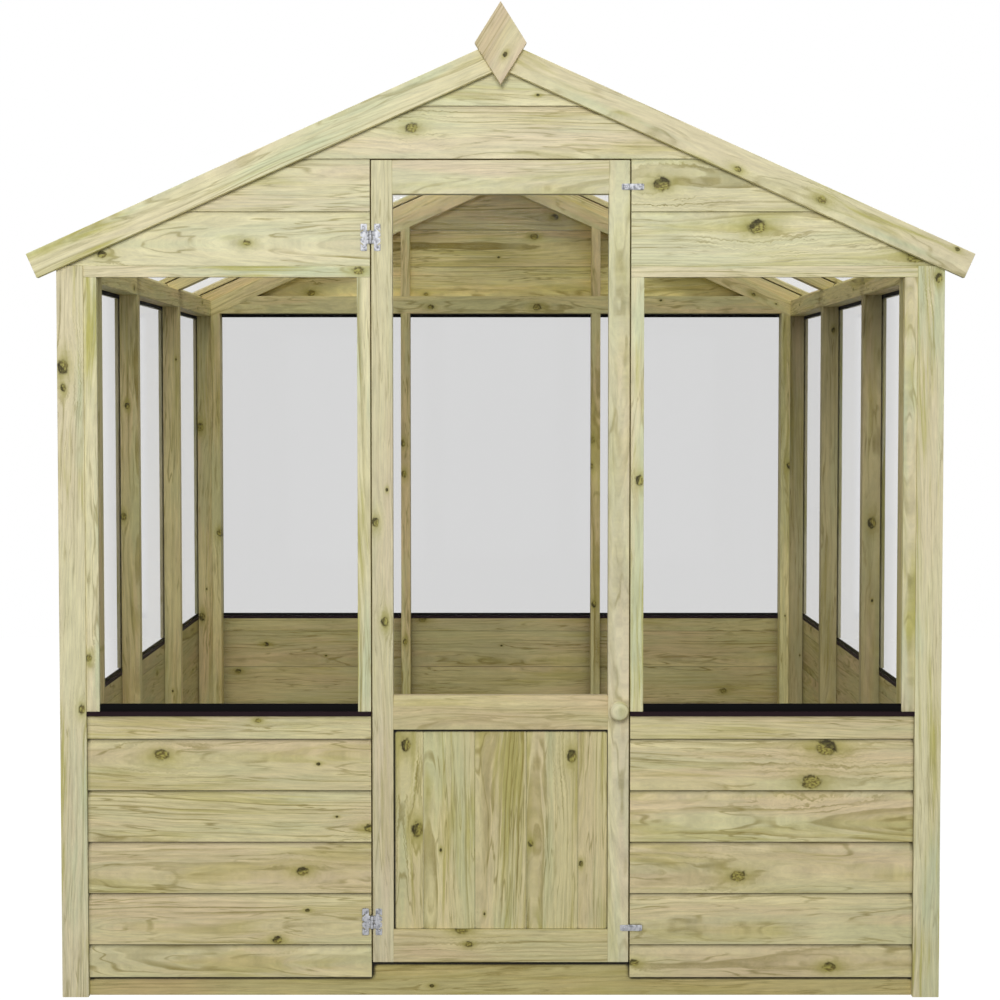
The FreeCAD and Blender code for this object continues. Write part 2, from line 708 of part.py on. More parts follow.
def hinge_leaf(name, hand, middle, low_high):
    """A leaf with its knuckles: hand is -1 on the wall and 1 on the door."""
    near = leaf_reach - leaf_wide
    reach = beside_axis(hand, near, leaf_reach)
    tall = (middle - leaf_tall / 2, middle + leaf_tall / 2)
    parts = [box(f"{name}_plate", reach, (leaf_front, -door_face), tall)]
    for i, (low, high) in enumerate(low_high):
        neck = beside_axis(hand, 0, near)
        parts.append(box(f"{name}_neck_{i}", neck, (axis_y, -door_face), (low, high)))
        parts.append(rod(f"{name}_knuckle_{i}", barrel_radius, high - low, axis_x, axis_y, low))
    solid = doc.addObject("Part::MultiFuse", f"{name}_blank")
    solid.Shapes = parts
    bores = [rod(f"{name}_bore", bore_radius, leaf_tall, axis_x, axis_y, middle - leaf_tall / 2)]
    for i, place in enumerate((-1, 1)):
        across = axis_x + (leaf_reach - leaf_wide / 2) * hand
        up = middle + screw_apart / 2 * place
        hole = screw_radius + screw_play
        bores.append(rod(f"{name}_hole_{i}", hole, leaf_thick, across, leaf_front, up, "y"))
    holes = doc.addObject("Part::Compound", f"{name}_holes")
    holes.Links = bores
    return boolean("Cut", name, solid, holes)


wall_leaves = []
door_leaves = []
pins = []
wall_screws = []
door_screws = []
for name, middle in (("upper", gable_low + hinge_above), ("lower", door_low + hinge_up)):
    low = middle - barrel_tall / 2
    mid_low = low + knuckle
    mid_high = mid_low + knuckle
    wall_leaves.append(hinge_leaf(f"{name}_wall_leaf", -1, middle, [(mid_low, mid_high)]))
    outer = [(low, mid_low - barrel_gap), (mid_high + barrel_gap, low + barrel_tall)]
    door_leaves.append(hinge_leaf(f"{name}_door_leaf", 1, middle, outer))
    stem = rod(f"{name}_stem", pin_radius, barrel_tall + barrel_gap, axis_x, axis_y, low - barrel_gap / 2)
    stem_top = low + barrel_tall + barrel_gap / 2
    cap = rod(f"{name}_pin_cap", barrel_radius / 2, pin_cap, axis_x, axis_y, stem_top)
    pins.append(boolean("Fuse", f"{name}_pin", stem, cap))
    for i, place in enumerate((-1, 1)):
        up = middle + screw_apart / 2 * place
        reach = leaf_reach - leaf_wide / 2
        wall_screws.append(screw(f"{name}_wall_screw_{i}", axis_x - reach, leaf_front, up))
        door_screws.append(screw(f"{name}_door_screw_{i}", axis_x + reach, leaf_front, up))
node(group("wall_leaf_pair", wall_leaves), "hinge_wall_leaves")
node(group("door_leaf_pair", door_leaves), "hinge_door_leaves")
node(group("pin_pair", pins), "hinge_pins")
node(group("wall_screw_set", wall_screws), "hinge_wall_screws")
node(group("door_screw_set", door_screws), "hinge_door_screws")

# Turn buttons: each turns on a screw in the right stile, and its tail lies over the door post
pivot_x = door_half - button_inset
button_back = -(door_face + button_gap)
button_front = button_back - button_thick
pivot_screws = []
for name, middle in (("upper", door_high - button_down), ("lower", door_low + button_up)):
    across = (pivot_x - button_tail, pivot_x - button_tail + button_long)
    tall = (middle - button_tall / 2, middle + button_tall / 2)
    plate = box(f"{name}_button_plate", across, (button_front, button_back), tall)
    hole_radius = screw_radius + screw_play
    hole = rod(f"{name}_button_hole", hole_radius, button_thick, pivot_x, button_front, middle, "y")
    node(boolean("Cut", f"{name}_button", plate, hole), f"{name}_turn_button")
    head_y = button_front - screw_play
    shank_long = screw_play + button_thick + button_gap + screw_long
    shank = rod(f"{name}_pivot_shank", screw_radius, shank_long, pivot_x, head_y, middle, "y")
    head = rod(f"{name}_pivot_head", screw_head, screw_dome, pivot_x, head_y - screw_dome, middle, "y")
    pivot_screws.append(boolean("Fuse", f"{name}_pivot", shank, head))
node(group("pivot_screw_pair", pivot_screws), "turn_button_screws")

# Knob: a turned neck that swells to a rounded front
knob_x = stile_in + stile_wide / 2
knob_high = mid_rail_low + knob_up
knob_middle = -(door_face + knob_long - knob_bulge)
bun = doc.addObject("Part::Ellipsoid", "knob_bun")
bind(bun, "Radius1", knob_radius)
bind(bun, "Radius2", knob_radius)
bind(bun, "Radius3", knob_bulge)
put(bun, knob_x, knob_middle, knob_high)
neck = rod("knob_stem", knob_neck, knob_long - knob_bulge, knob_x, knob_middle, knob_high, "y")
node(boolean("Fuse", "knob", bun, neck), "door_knob")

doc.recompute()
for thing in doc.Objects:
    if {"Invalid", "Error"} & set(thing.State):
        raise RuntimeError(f"{thing.Name} could not be built: {thing.State}")
for piece in nodes:
    if piece.Shape.isNull() or not piece.Shape.isValid() or not piece.Shape.Solids:
        raise RuntimeError(f"{piece.Label} has no sound shape")

os.makedirs("parts", exist_ok=True)
for piece in nodes:
    piece.Shape.exportStep(f"parts/{piece.Label}.step")
print(len(nodes), "nodes,", sum(len(piece.Shape.Solids) for piece in nodes), "solids")
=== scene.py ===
import json
import math
import random
from collections import namedtuple
from functools import reduce

import bmesh
import bpy
from bpy.props import FloatProperty, FloatVectorProperty, PointerProperty
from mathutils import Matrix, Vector

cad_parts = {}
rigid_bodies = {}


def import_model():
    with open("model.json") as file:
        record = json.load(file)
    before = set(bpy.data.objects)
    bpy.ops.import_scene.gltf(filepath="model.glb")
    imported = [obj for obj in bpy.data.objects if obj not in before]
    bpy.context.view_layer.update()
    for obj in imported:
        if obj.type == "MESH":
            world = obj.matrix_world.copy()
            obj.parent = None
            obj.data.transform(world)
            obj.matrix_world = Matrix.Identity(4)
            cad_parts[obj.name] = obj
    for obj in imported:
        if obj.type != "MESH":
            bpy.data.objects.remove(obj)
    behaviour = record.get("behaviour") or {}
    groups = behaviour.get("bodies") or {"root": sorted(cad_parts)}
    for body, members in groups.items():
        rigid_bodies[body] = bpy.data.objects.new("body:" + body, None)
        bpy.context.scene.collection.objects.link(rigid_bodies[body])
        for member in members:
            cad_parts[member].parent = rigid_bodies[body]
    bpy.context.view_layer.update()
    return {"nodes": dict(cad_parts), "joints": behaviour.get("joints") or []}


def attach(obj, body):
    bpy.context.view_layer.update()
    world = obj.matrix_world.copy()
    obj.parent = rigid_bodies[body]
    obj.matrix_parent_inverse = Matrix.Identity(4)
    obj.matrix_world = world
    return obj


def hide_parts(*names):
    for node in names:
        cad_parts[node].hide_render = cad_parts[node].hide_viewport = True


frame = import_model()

bl_info = {
    "name": "Wooden greenhouse",
    "version": (1, 0, 0),
    "blender": (4, 5, 0),
    "location": "View3D > Sidebar > Greenhouse",
    "description": "Dresses a gable-roofed wooden greenhouse with timber, glazing and ironmongery",
    "category": "Object",
}

FLOAT = "NodeSocketFloat"
COLOUR = "NodeSocketColor"
VECTOR = "NodeSocketVector"
WHITE = (1.0, 1.0, 1.0)
KNOTS_PER_BOARD = 4

# Sizes in metres that aren't settings
MERGE = 1e-5
STRIP_EDGE = 0.0009
LEAF_EDGE = 0.0003
PIN_EDGE = 0.0004
BUTTON_EDGE = 0.00025
NOSING_TOP = 0.6235
NOSING_FADE = 0.0015
# Depths over which the painted shade of a side sheet grows from none at the front to full further back
SHEET_FADE = (-0.60, -0.35)
LEAST_KNOT = 0.0005
FLOOR_SIDE = 10.2

# Angles in degrees
FLAT_WITHIN = 0.5
SHARP_OVER = 20
SMOOTH_UNDER = 35

# Shares of the piece that they belong to
TONGUE_LAP = 0.8
TONGUE_THICK = 1 / 3
SLOT_HEIGHT = 0.2
SLOT_TOOL = 1.4
SCREW_SHANK = 0.5
SCREW_DOME = 0.4
SCREW_TIP = 0.1
SCREW_CROSS = 0.24

# Steps round a corner and an edge, and how near 1 the product of two parallel directions is
CORNER_STEPS = 5
EDGE_STEPS = 2
PARALLEL = 0.999

# Flats round a turned piece
SCREW_SIDES = 20
KNOB_SIDES = 40

# Looks that are the same all over a piece
SHEET_IOR = 1.45
SHEET_GLINT = 0.15
TIMBER_GLOSS = 0.2
STRIP_GLOSS = 0.05
STRIP_BLOOM = (0.014, 0.012, 0.013)
SENSOR_WIDE = 36.0

X = Vector((1, 0, 0))
Y = Vector((0, 1, 0))
Z = Vector((0, 0, 1))
FINIAL_GRAIN = Vector((0.525, 0.0, 0.851))


def colour(label, words, default):
    return FloatVectorProperty(
        name=label, description=words, subtype="COLOR", size=3, min=0, max=1, default=default
    )


def length(label, words, default):
    return FloatProperty(name=label, description=words, unit="LENGTH", min=0, default=default, precision=5)


def share(label, words, default):
    return FloatProperty(name=label, description=words, min=0, max=1, default=default)


def angle(label, words, degrees):
    return FloatProperty(name=label, description=words, subtype="ANGLE", default=math.radians(degrees))


def power(label, words, watts):
    return FloatProperty(name=label, description=words, subtype="POWER", default=watts, min=0)


class TimberSettings(bpy.types.PropertyGroup):
    """Finish of the planed, pressure-treated softwood"""

    edge: length("Edge", "Width of the softened edges of a board", 0.0009)
    ring: length("Ring", "Distance between two growth rings", 0.0078)
    # Joint also sets how far the painted shade of joints, corners and proud edges reaches
    joint: length("Joint", "How far dirt and shade reach out of a joint", 0.008)
    groove: length("Groove", "Depth of the grooves between the door boards", 0.0004)
    straw: colour("Straw", "Pale early wood", (0.815, 0.760, 0.480))
    mist: colour("Mist", "Grey-green cast of the pressure treatment", (0.650, 0.680, 0.440))
    olive: colour("Olive", "Yellow-green streaks of the pressure treatment", (0.490, 0.455, 0.125))
    heart: colour("Heart", "Pinkish heartwood", (0.800, 0.665, 0.475))
    late: colour("Late", "Late wood of a growth ring", (0.335, 0.280, 0.092))
    knot: colour("Knot", "Middle of a knot", (0.140, 0.105, 0.030))
    # Painted shade: the dark colour that ambient occlusion draws joints, laps and corners towards, standing
    # in for the shade there
    painted_shade: colour("Dirt", "Dirt and shade in the joints", (0.060, 0.050, 0.020))
    # Painted shadow: the near-black colour drawn below and beside proud edges, away from the light
    shade: colour("Shade", "Deep shade under an overhanging edge", (0.005, 0.004, 0.002))


class GlazingSettings(bpy.types.PropertyGroup):
    """Finish of the clear sheets and of the black strips that hold them"""

    tint: colour("Tint", "Body colour of the sheets", (0.050, 0.052, 0.055))
    clear: share("Clear", "How much of the light each face of a front, door or roof sheet holds back", 0.020)
    # Painted shade: the back and side sheets hold back more of the light than the front ones, so the glazing
    # is greyer where it lies in shade
    back_shade: share("Haze", "How much of the light each face of a back sheet holds back", 0.165)
    side: share("Side", "How much of the light each face of a side sheet holds back", 0.095)
    black: colour("Black", "Extruded strips", (0.004, 0.0037, 0.0036))
    # Painted sheen: the nosing of the sills is drawn in a lighter purplish colour for the light that falls
    # on it, while the rest of the same plastic stays black
    painted_sheen: colour("Plum", "Sheen on the nosing of the sills", (0.024, 0.013, 0.016))


class IronmongerySettings(bpy.types.PropertyGroup):
    """Shapes and finish of the hinges, turn buttons and screws"""

    corner: length("Corner", "Radius of the corners of a stamped plate", 0.0024)
    slot: length("Slot", "Length of a slanting slot in a hinge leaf", 0.0078)
    slot_wide: length("Slot width", "Width of a slanting slot in a hinge leaf", 0.0026)
    slant: angle("Slant", "Slope of the slots", 40)
    notch: length("Notch", "Depth of the notch in the edge of a hinge leaf", 0.0056)
    notch_tall: length("Notch height", "Height of the notch in the edge of a hinge leaf", 0.0046)
    plate: length("Plate", "Thickness of a hinge leaf", 0.0015)
    knuckle: length("Knuckle", "Height of one of the three knuckles of a hinge", 0.009)
    web: length("Web", "Hinge axis to the plate of a leaf", 0.0078)
    play: length("Play", "Plate of a leaf clear of the knuckles of the other leaf", 0.0005)
    sunk: length("Sunk", "How far the plain parts of a turn button lie below its ridges", 0.0011)
    recess: length("Recess", "Length of the cross in a screw head", 0.0034)
    zinc: colour("Zinc", "Bright zinc plating", (0.40, 0.405, 0.425))
    dull: colour("Dull", "Dull patches in the plating", (0.17, 0.175, 0.19))


class StageSettings(bpy.types.PropertyGroup):
    """Camera, floor and lamps"""

    away: length("Away", "Camera in front of the middle of the plan", 4.883)
    eye: length("Eye", "Height of the camera", 1.2984)
    tilt: angle("Tilt", "Camera below level", 2.132)
    lens: FloatProperty(name="Lens", description="Focal length in millimetres", default=66.586, min=1)
    rise: FloatProperty(name="Rise", description="Upward shift of the lens", default=0.0311)
    aside: FloatProperty(name="Aside", description="Sideways shift of the lens", default=0.0006)
    fill: share("Fill", "Light of the sky on the object", 0.37)
    key: power("Key", "Power of the front lamp", 142)
    top: power("Top", "Power of the overhead lamp", 50)
    floor: colour("Floor", "Pale studio floor", (0.30, 0.30, 0.30))
    glow: share("Glow", "How much of the floor's white the camera sees without a lamp", 0.889)


class GreenhouseSettings(bpy.types.PropertyGroup):
    """Sizes and colours of the greenhouse"""

    timber: PointerProperty(type=TimberSettings)
    glazing: PointerProperty(type=GlazingSettings)
    ironmongery: PointerProperty(type=IronmongerySettings)
    stage: PointerProperty(type=StageSettings)


def settings():
    return bpy.context.scene.greenhouse


class Wiring:
    """Adds nodes to one tree and joins them: sockets and plain values may be mixed"""

    def __init__(self, tree):
        self.tree = tree

    def node(self, kind, *values, **choices):
        """A new node with its choices made and its first inputs fed"""
        made = self.tree.nodes.new(kind)
        for name, choice in choices.items():
            setattr(made, name, choice)
        for socket, value in zip(made.inputs, values):
            self.feed(socket, value)
        return made

    def feed(self, socket, value):
        """Link a socket to another one or set its value, where a colour comes without its alpha"""
        if isinstance(value, bpy.types.NodeSocket):
            self.tree.links.new(value, socket)
        elif socket.bl_idname.startswith(COLOUR):
            socket.default_value = (*value, 1.0)
        else:
            socket.default_value = value

    def fill(self, sockets, **values):
        """Feed sockets by name, with spaces as underscores"""
        for name, value in values.items():
            self.feed(sockets[name.replace("_", " ")], value)

    def math(self, operation, *values):
        return self.node("ShaderNodeMath", *values, operation=operation).outputs[0]

    def chain(self, operation, values):
        return reduce(lambda total, value: self.math(operation, total, value), values)

    def add(self, *values):
        return self.chain("ADD", values)

    def times(self, *values):
        return self.chain("MULTIPLY", values)

    def less(self, first, second):
        return self.math("SUBTRACT", first, second)

    def spread(self, value, low, high):
        """Turn 0 to 1 into low to high"""
        return self.math("MULTIPLY_ADD", value, high - low, low)

    def sway(self, value, most):
        """Turn 0 to 1 into less to more than nothing"""
        return self.spread(value, -most, most)

    def fade(self, value, low, high, start=0.0, end=1.0):
        """A smooth step between two values"""
        values = (value, low, high, start, end)
        return self.node("ShaderNodeMapRange", *values, interpolation_type="SMOOTHSTEP").outputs[0]

    def mix(self, amount, first, second, kind="MIX"):
        made = self.node("ShaderNodeMix", amount, data_type="RGBA", blend_type=kind)
        for socket, value in zip(made.inputs[6:8], (first, second)):
            self.feed(socket, value)
        return made.outputs[2]

    def split(self, vector):
        return self.node("ShaderNodeSeparateXYZ", vector).outputs[:3]

    def join(self, x, y, z):
        return self.node("ShaderNodeCombineXYZ", x, y, z).outputs[0]

    def vector_math(self, operation, *vectors):
        return self.node("ShaderNodeVectorMath", *vectors, operation=operation).outputs

    def shift(self, vector, other):
        return self.vector_math("ADD", vector, other)[0]

    def unit(self, vector):
        return self.vector_math("NORMALIZE", vector)[0]

    def size(self, vector):
        return self.vector_math("LENGTH", vector)["Value"]

    def noise(self, place, stretch=None, scale=1.0, detail=2.0, rough=0.5):
        """Noise over a place, which may be stretched first"""
        if stretch:
            place = self.vector_math("MULTIPLY", place, stretch)[0]
        made = self.node("ShaderNodeTexNoise", noise_dimensions="3D")
        self.fill(made.inputs, Vector=place, Scale=scale, Detail=detail, Roughness=rough)
        return made.outputs[0]

    def chance(self, value):
        """Three unrelated numbers from one"""
        made = self.node("ShaderNodeTexWhiteNoise", noise_dimensions="1D")
        self.feed(made.inputs["W"], value)
        return self.split(made.outputs["Color"])

    def attribute(self, name):
        return self.node("ShaderNodeAttribute", attribute_name=name)

    def place(self):
        """Where a spot is on the object"""
        return self.node("ShaderNodeTexCoord").outputs["Object"]

    def bump(self, height, strength, distance):
        made = self.node("ShaderNodeBump")
        self.fill(made.inputs, Height=height, Strength=strength, Distance=distance)
        return made.outputs[0]

    def group(self, tree, **values):
        made = self.node("ShaderNodeGroup", node_tree=tree)
        self.fill(made.inputs, **values)
        return made.outputs


def new_group(name, inputs, outputs):
    """An empty node group, with its wiring, the sockets inside it and the sockets to fill"""
    tree = bpy.data.node_groups.new(name, "ShaderNodeTree")
    for way, sockets in (("INPUT", inputs), ("OUTPUT", outputs)):
        for label, kind in sockets:
            tree.interface.new_socket(name=label, in_out=way, socket_type=kind)
    w = Wiring(tree)
    return tree, w, w.node("NodeGroupInput").outputs, w.node("NodeGroupOutput").inputs


def knot_group():
    """One knot: how it pushes the grain aside, and where its core, rim, stain and dead wood are"""
    tree, w, given, wanted = new_group(
        "timber_knot",
        [("Place", VECTOR), ("Knot", VECTOR)],
        [("Push", FLOAT), ("Core", FLOAT), ("Rim", FLOAT), ("Stain", FLOAT), ("Pin", FLOAT)],
    )
    knot_along, knot_across, knot_radius = w.split(given["Knot"])
    along, across, _ = w.split(given["Place"])
    there = w.math("GREATER_THAN", knot_radius, LEAST_KNOT)
    radius = w.math("MAXIMUM", knot_radius, LEAST_KNOT)
    before = w.math("DIVIDE", w.less(along, knot_along), radius)
    beside = w.math("DIVIDE", w.less(across, knot_across), radius)
    ragged = w.noise(w.join(before, beside, w.times(knot_along, 40.0)), scale=1.4, detail=3.0)
    wander = w.spread(ragged, 0.64, 1.36)
    dead, side, _ = w.chance(w.times(w.add(knot_along, knot_across), 977.0))

    def reach(squeeze):
        """Distance from the knot in knot radii, with the along direction squeezed"""
        return w.times(w.size(w.join(w.times(before, squeeze), beside, 0.0)), wander)

    def bell(value, narrow):
        return w.math("EXPONENT", w.times(value, value, -narrow))

    near = reach(0.78)
    core = w.times(w.fade(near, 0.78, 1.0, 1.0, 0.0), there)
    turned = w.add(w.times(before, w.sway(side, 1.0)), beside)
    lit_side = w.fade(turned, -0.5, 0.9, 1.0, 0.25)
    small = w.fade(radius, 0.0038, 0.0060, 1.0, 0.0)
    hole = w.times(w.fade(dead, 0.45, 0.55), w.fade(turned, -0.35, 0.05, 1.0, 0.0))
    w.fill(
        wanted,
        Push=w.times(beside, radius, bell(reach(0.36), 0.20), -0.95, there),
        Core=core,
        Rim=w.times(bell(w.less(near, 0.88), 22.0), lit_side, there),
        Stain=w.times(bell(reach(0.50), 0.36), there),
        Pin=w.times(core, w.math("MAXIMUM", small, hole)),
    )
    return tree


# Colours of the timber that its figure is mixed from
TONES = ("Straw", "Mist", "Olive", "Heart", "Late", "Knot")
DEAD_WOOD = (0.016, 0.013, 0.008)
DARK_RIM = (0.010, 0.008, 0.005)


def timber_group():
    """Growth rings, fibres, treatment stain and knots of one board, in the board's own directions"""
    tree, w, given, wanted = new_group(
        "timber_figure",
        [(name, FLOAT) for name in ("Ring", "Figure", "Green", "Warm")]
        + [(name, COLOUR) for name in (*TONES, "Tint")],
        [("Color", COLOUR), ("Roughness", FLOAT), ("Height", FLOAT)],
    )
    place = w.attribute("grain").outputs["Vector"]
    board = w.attribute("board").outputs["Fac"]
    pith_across, pith_depth, lean = w.chance(w.times(board, 917.0))
    tone, hue, strength = w.chance(w.times(board, 533.0))
    seed = w.join(w.times(board, 71.0), w.times(board, 37.0), w.times(board, 53.0))
    seeded = w.shift(place, seed)

    knots = knot_group()
    pushes = 0.0
    masks = {"Core": 0.0, "Rim": 0.0, "Stain": 0.0, "Pin": 0.0}
    for i in range(KNOTS_PER_BOARD):
        spot = w.attribute(f"knot_{i}").outputs["Vector"]
        one = w.group(knots, Place=place, Knot=spot)
        pushes = w.add(pushes, one["Push"])
        for name in masks:
            masks[name] = w.math("MAXIMUM", masks[name], one[name])

    # Distance from the pith, which the rings, streaks and fibres follow
    along, across, depth = w.split(place)
    slow = w.noise(seeded, (0.9, 5.0, 5.0))
    wavy = w.noise(seeded, (5.0, 26.0, 26.0))
    from_pith = w.join(
        w.less(w.add(across, pushes), w.sway(pith_across, 0.07)),
        w.less(depth, w.spread(pith_depth, 0.015, 0.09)),
        0.0,
    )
    radius = w.add(
        w.size(from_pith),
        w.times(along, w.sway(lean, 0.020)),
        w.sway(slow, 0.022),
        w.sway(wavy, 0.0038),
    )
    flow = w.shift(w.join(along, radius, w.times(depth, 0.4)), seed)

    # Growth rings, dark and broken here and there
    uneven = w.noise(w.join(w.times(radius, 36.0), w.times(board, 29.0), 0.5), detail=1.0)
    turn = w.add(w.math("DIVIDE", radius, given["Ring"]), w.sway(uneven, 1.4))
    phase = w.math("FRACT", turn)
    ring_tone = w.chance(w.add(w.math("FLOOR", turn), w.times(board, 211.0)))[0]
    patchy = w.noise(flow, (4.0, 45.0, 12.0), detail=3.0)
    late = w.times(
        w.fade(phase, 0.50, 0.92),
        w.fade(phase, 0.94, 1.0, 1.0, 0.0),
        w.spread(w.times(ring_tone, ring_tone), 0.15, 1.40),
        w.fade(patchy, 0.34, 0.64, 0.10, 1.0),
    )

    # Streaks, fibres and thin dark lines along the grain
    streak = w.noise(flow, (2.8, 105.0, 24.0), detail=3.0, rough=0.62)
    fibre = w.noise(flow, (15.0, 300.0, 90.0), detail=4.0, rough=0.75)
    vein = w.noise(w.shift(flow, (1.0, 5.0, 2.0)), (4.0, 210.0, 45.0), detail=3.0, rough=0.6)
    thread = w.noise(w.shift(flow, (3.0, 8.0, 5.0)), (4.5, 130.0, 30.0), detail=2.0, rough=0.55)
    where = w.noise(w.shift(seeded, (2.0, 6.0, 1.0)), (5.0, 34.0, 34.0))
    lines = w.times(
        w.fade(w.math("ABSOLUTE", w.less(thread, 0.5)), 0.004, 0.034, 1.0, 0.0),
        w.fade(where, 0.38, 0.62),
    )
    patches = w.noise(seeded, (2.0, 15.0, 15.0), detail=3.0)
    warmth = w.noise(w.shift(seeded, (9.0, 4.0, 7.0)), (1.8, 13.0, 13.0))
    misty = w.noise(w.shift(seeded, (5.0, 2.0, 3.0)), (2.6, 22.0, 22.0), detail=3.0)

    warmer = w.add(warmth, w.sway(streak, 0.10), w.sway(hue, 0.10))
    heart = w.fade(warmer, 0.40, 0.64)
    body = w.mix(w.times(heart, given["Warm"]), given["Straw"], given["Heart"])
    cast = w.fade(w.add(misty, w.sway(tone, 0.08)), 0.46, 0.66)
    body = w.mix(w.times(cast, given["Green"]), body, given["Mist"])
    greener = w.add(patches, w.sway(streak, 0.24), w.sway(vein, 0.34))
    green = w.fade(greener, 0.50, 0.74)
    body = w.mix(w.times(green, given["Green"]), body, given["Olive"])
    grain = w.times(late, given["Figure"], w.spread(strength, 0.6, 1.2))
    body = w.mix(grain, body, given["Late"])
    body = w.mix(w.times(lines, 0.85, given["Figure"]), body, given["Late"])
    shade = w.times(w.spread(fibre, 0.55, 1.45), w.spread(streak, 0.86, 1.14), w.spread(tone, 0.95, 1.05))
    body = w.mix(1.0, body, w.join(shade, shade, shade), "MULTIPLY")

    # Knots, with an olive stain around them
    body = w.mix(w.times(masks["Stain"], w.spread(streak, -0.2, 1.5)), body, given["Olive"])
    halo = w.times(w.math("POWER", masks["Stain"], 3.0), w.spread(vein, 0.1, 1.3))
    body = w.mix(halo, body, w.mix(0.4, given["Olive"], given["Knot"]))
    speckle = w.noise(seeded, (170.0, 280.0, 280.0))
    middle = w.mix(w.fade(speckle, 0.36, 0.64), given["Knot"], given["Olive"])
    body = w.mix(w.times(masks["Core"], 0.85), body, middle)
    broken = w.fade(w.noise(seeded, (70.0, 70.0, 70.0)), 0.36, 0.58)
    body = w.mix(w.times(masks["Rim"], broken, 0.85), body, w.mix(0.75, given["Knot"], DARK_RIM))
    body = w.mix(w.times(masks["Pin"], 0.72), body, DEAD_WOOD)

    # The tint, multiplied in last, paints light and shade on some kinds of timber
    w.fill(
        wanted,
        Color=w.mix(1.0, body, given["Tint"], "MULTIPLY"),
        Roughness=w.add(w.spread(fibre, 0.52, 0.68), w.times(late, -0.06)),
        Height=w.add(w.times(late, 0.5), w.times(fibre, 0.6), w.times(masks["Rim"], -0.6)),
    )
    return tree


def made_once(make):
    """Make a material when its name is first asked for, and give the same one after that"""

    def give(name, *values):
        return bpy.data.materials.get(name) or make(name, *values)

    return give


def new_material(name):
    """A material with an empty tree, its wiring and the inputs of its shader"""
    material = bpy.data.materials.new(name)
    material.use_nodes = True
    material.node_tree.nodes.clear()
    w = Wiring(material.node_tree)
    shader = w.node("ShaderNodeBsdfPrincipled")
    w.node("ShaderNodeOutputMaterial", shader.outputs[0])
    return material, w, shader.inputs


# How painted shade lies on timber, darkening joints, laps, corners and the wood under proud edges: its reach
# in joint widths, how open a spot is where it is full and where it starts, its most, whether it is deep and
# lies away from the light, whether only the piece itself throws it, and the height it lies above
Shade = namedtuple("Shade", "reach full start most deep alone above", defaults=(False, False, 0.0))
OWN_EDGES = Shade(1.0, 0.42, 0.74, 0.92, alone=True)
LAPPED = Shade(1.2, 0.54, 0.94, 0.95)
FAINT = Shade(1.0, 0.50, 0.86, 0.30)
FRAMED = Shade(1.1, 0.56, 0.84, 1.0, deep=True)
OVERHUNG = Shade(1.5, 0.64, 0.94, 1.0, deep=True, above=0.029)
CORNERED = Shade(12.0, 0.30, 0.90, 0.75)
# The way towards the light: deep painted shade is counted from that side, so it lies below and to the right
# of proud edges
LIGHT_SIDE = (-0.35, 0.0, 0.75)
SHADE_RAYS = 4
DEEP_SHADE_RAYS = 8

# Kinds of timber: how strong the rings, the green stain and the warm heartwood are, then the tint, the width
# of the rings and the painted shade. The tint paints light and shade: kinds that lie in shade, such as the
# right studs, walls, rails and door boards, are darker copies of the wood, and the gables and trims lighter
# ones
Kind = namedtuple("Kind", "figure green warm tint ring shade", defaults=(WHITE, 1.0, OWN_EDGES))
TIMBERS = {
    "framing_timber": Kind(0.85, 0.65, 0.75, (0.98, 0.92, 0.70)),
    # A darker copy of the framing timber: painted shade on the right studs
    "shaded_timber": Kind(0.85, 0.65, 0.75, (0.63, 0.58, 0.46)),
    "rail_timber": Kind(0.8, 0.5, 0.7, (0.83, 0.75, 0.54), shade=OVERHUNG),
    "cladding_timber": Kind(0.85, 0.5, 0.7, (1.0, 0.96, 0.85), shade=LAPPED),
    "gable_timber": Kind(0.75, 0.5, 0.55, (1.04, 1.045, 1.05), shade=FAINT),
    "back_gable_timber": Kind(0.95, 0.55, 0.7, (1.18, 1.11, 0.86)),
    "wall_timber": Kind(1.0, 0.55, 0.8, (0.78, 0.73, 0.54), shade=CORNERED),
    "trim_timber": Kind(0.65, 0.95, 0.4, (1.075, 1.08, 1.07)),
    "finial_timber": Kind(0.7, 0.25, 1.0, (1.0, 0.97, 0.95)),
    "door_timber": Kind(0.55, 0.4, 0.7, ring=0.8),
    "door_rail_timber": Kind(0.6, 0.4, 0.8, (0.90, 0.85, 0.72)),
    "door_board_timber": Kind(0.8, 0.75, 0.45, (0.95, 0.92, 0.79), shade=FRAMED),
    "knob_timber": Kind(0.5, 0.5, 0.4, ring=0.8),
}


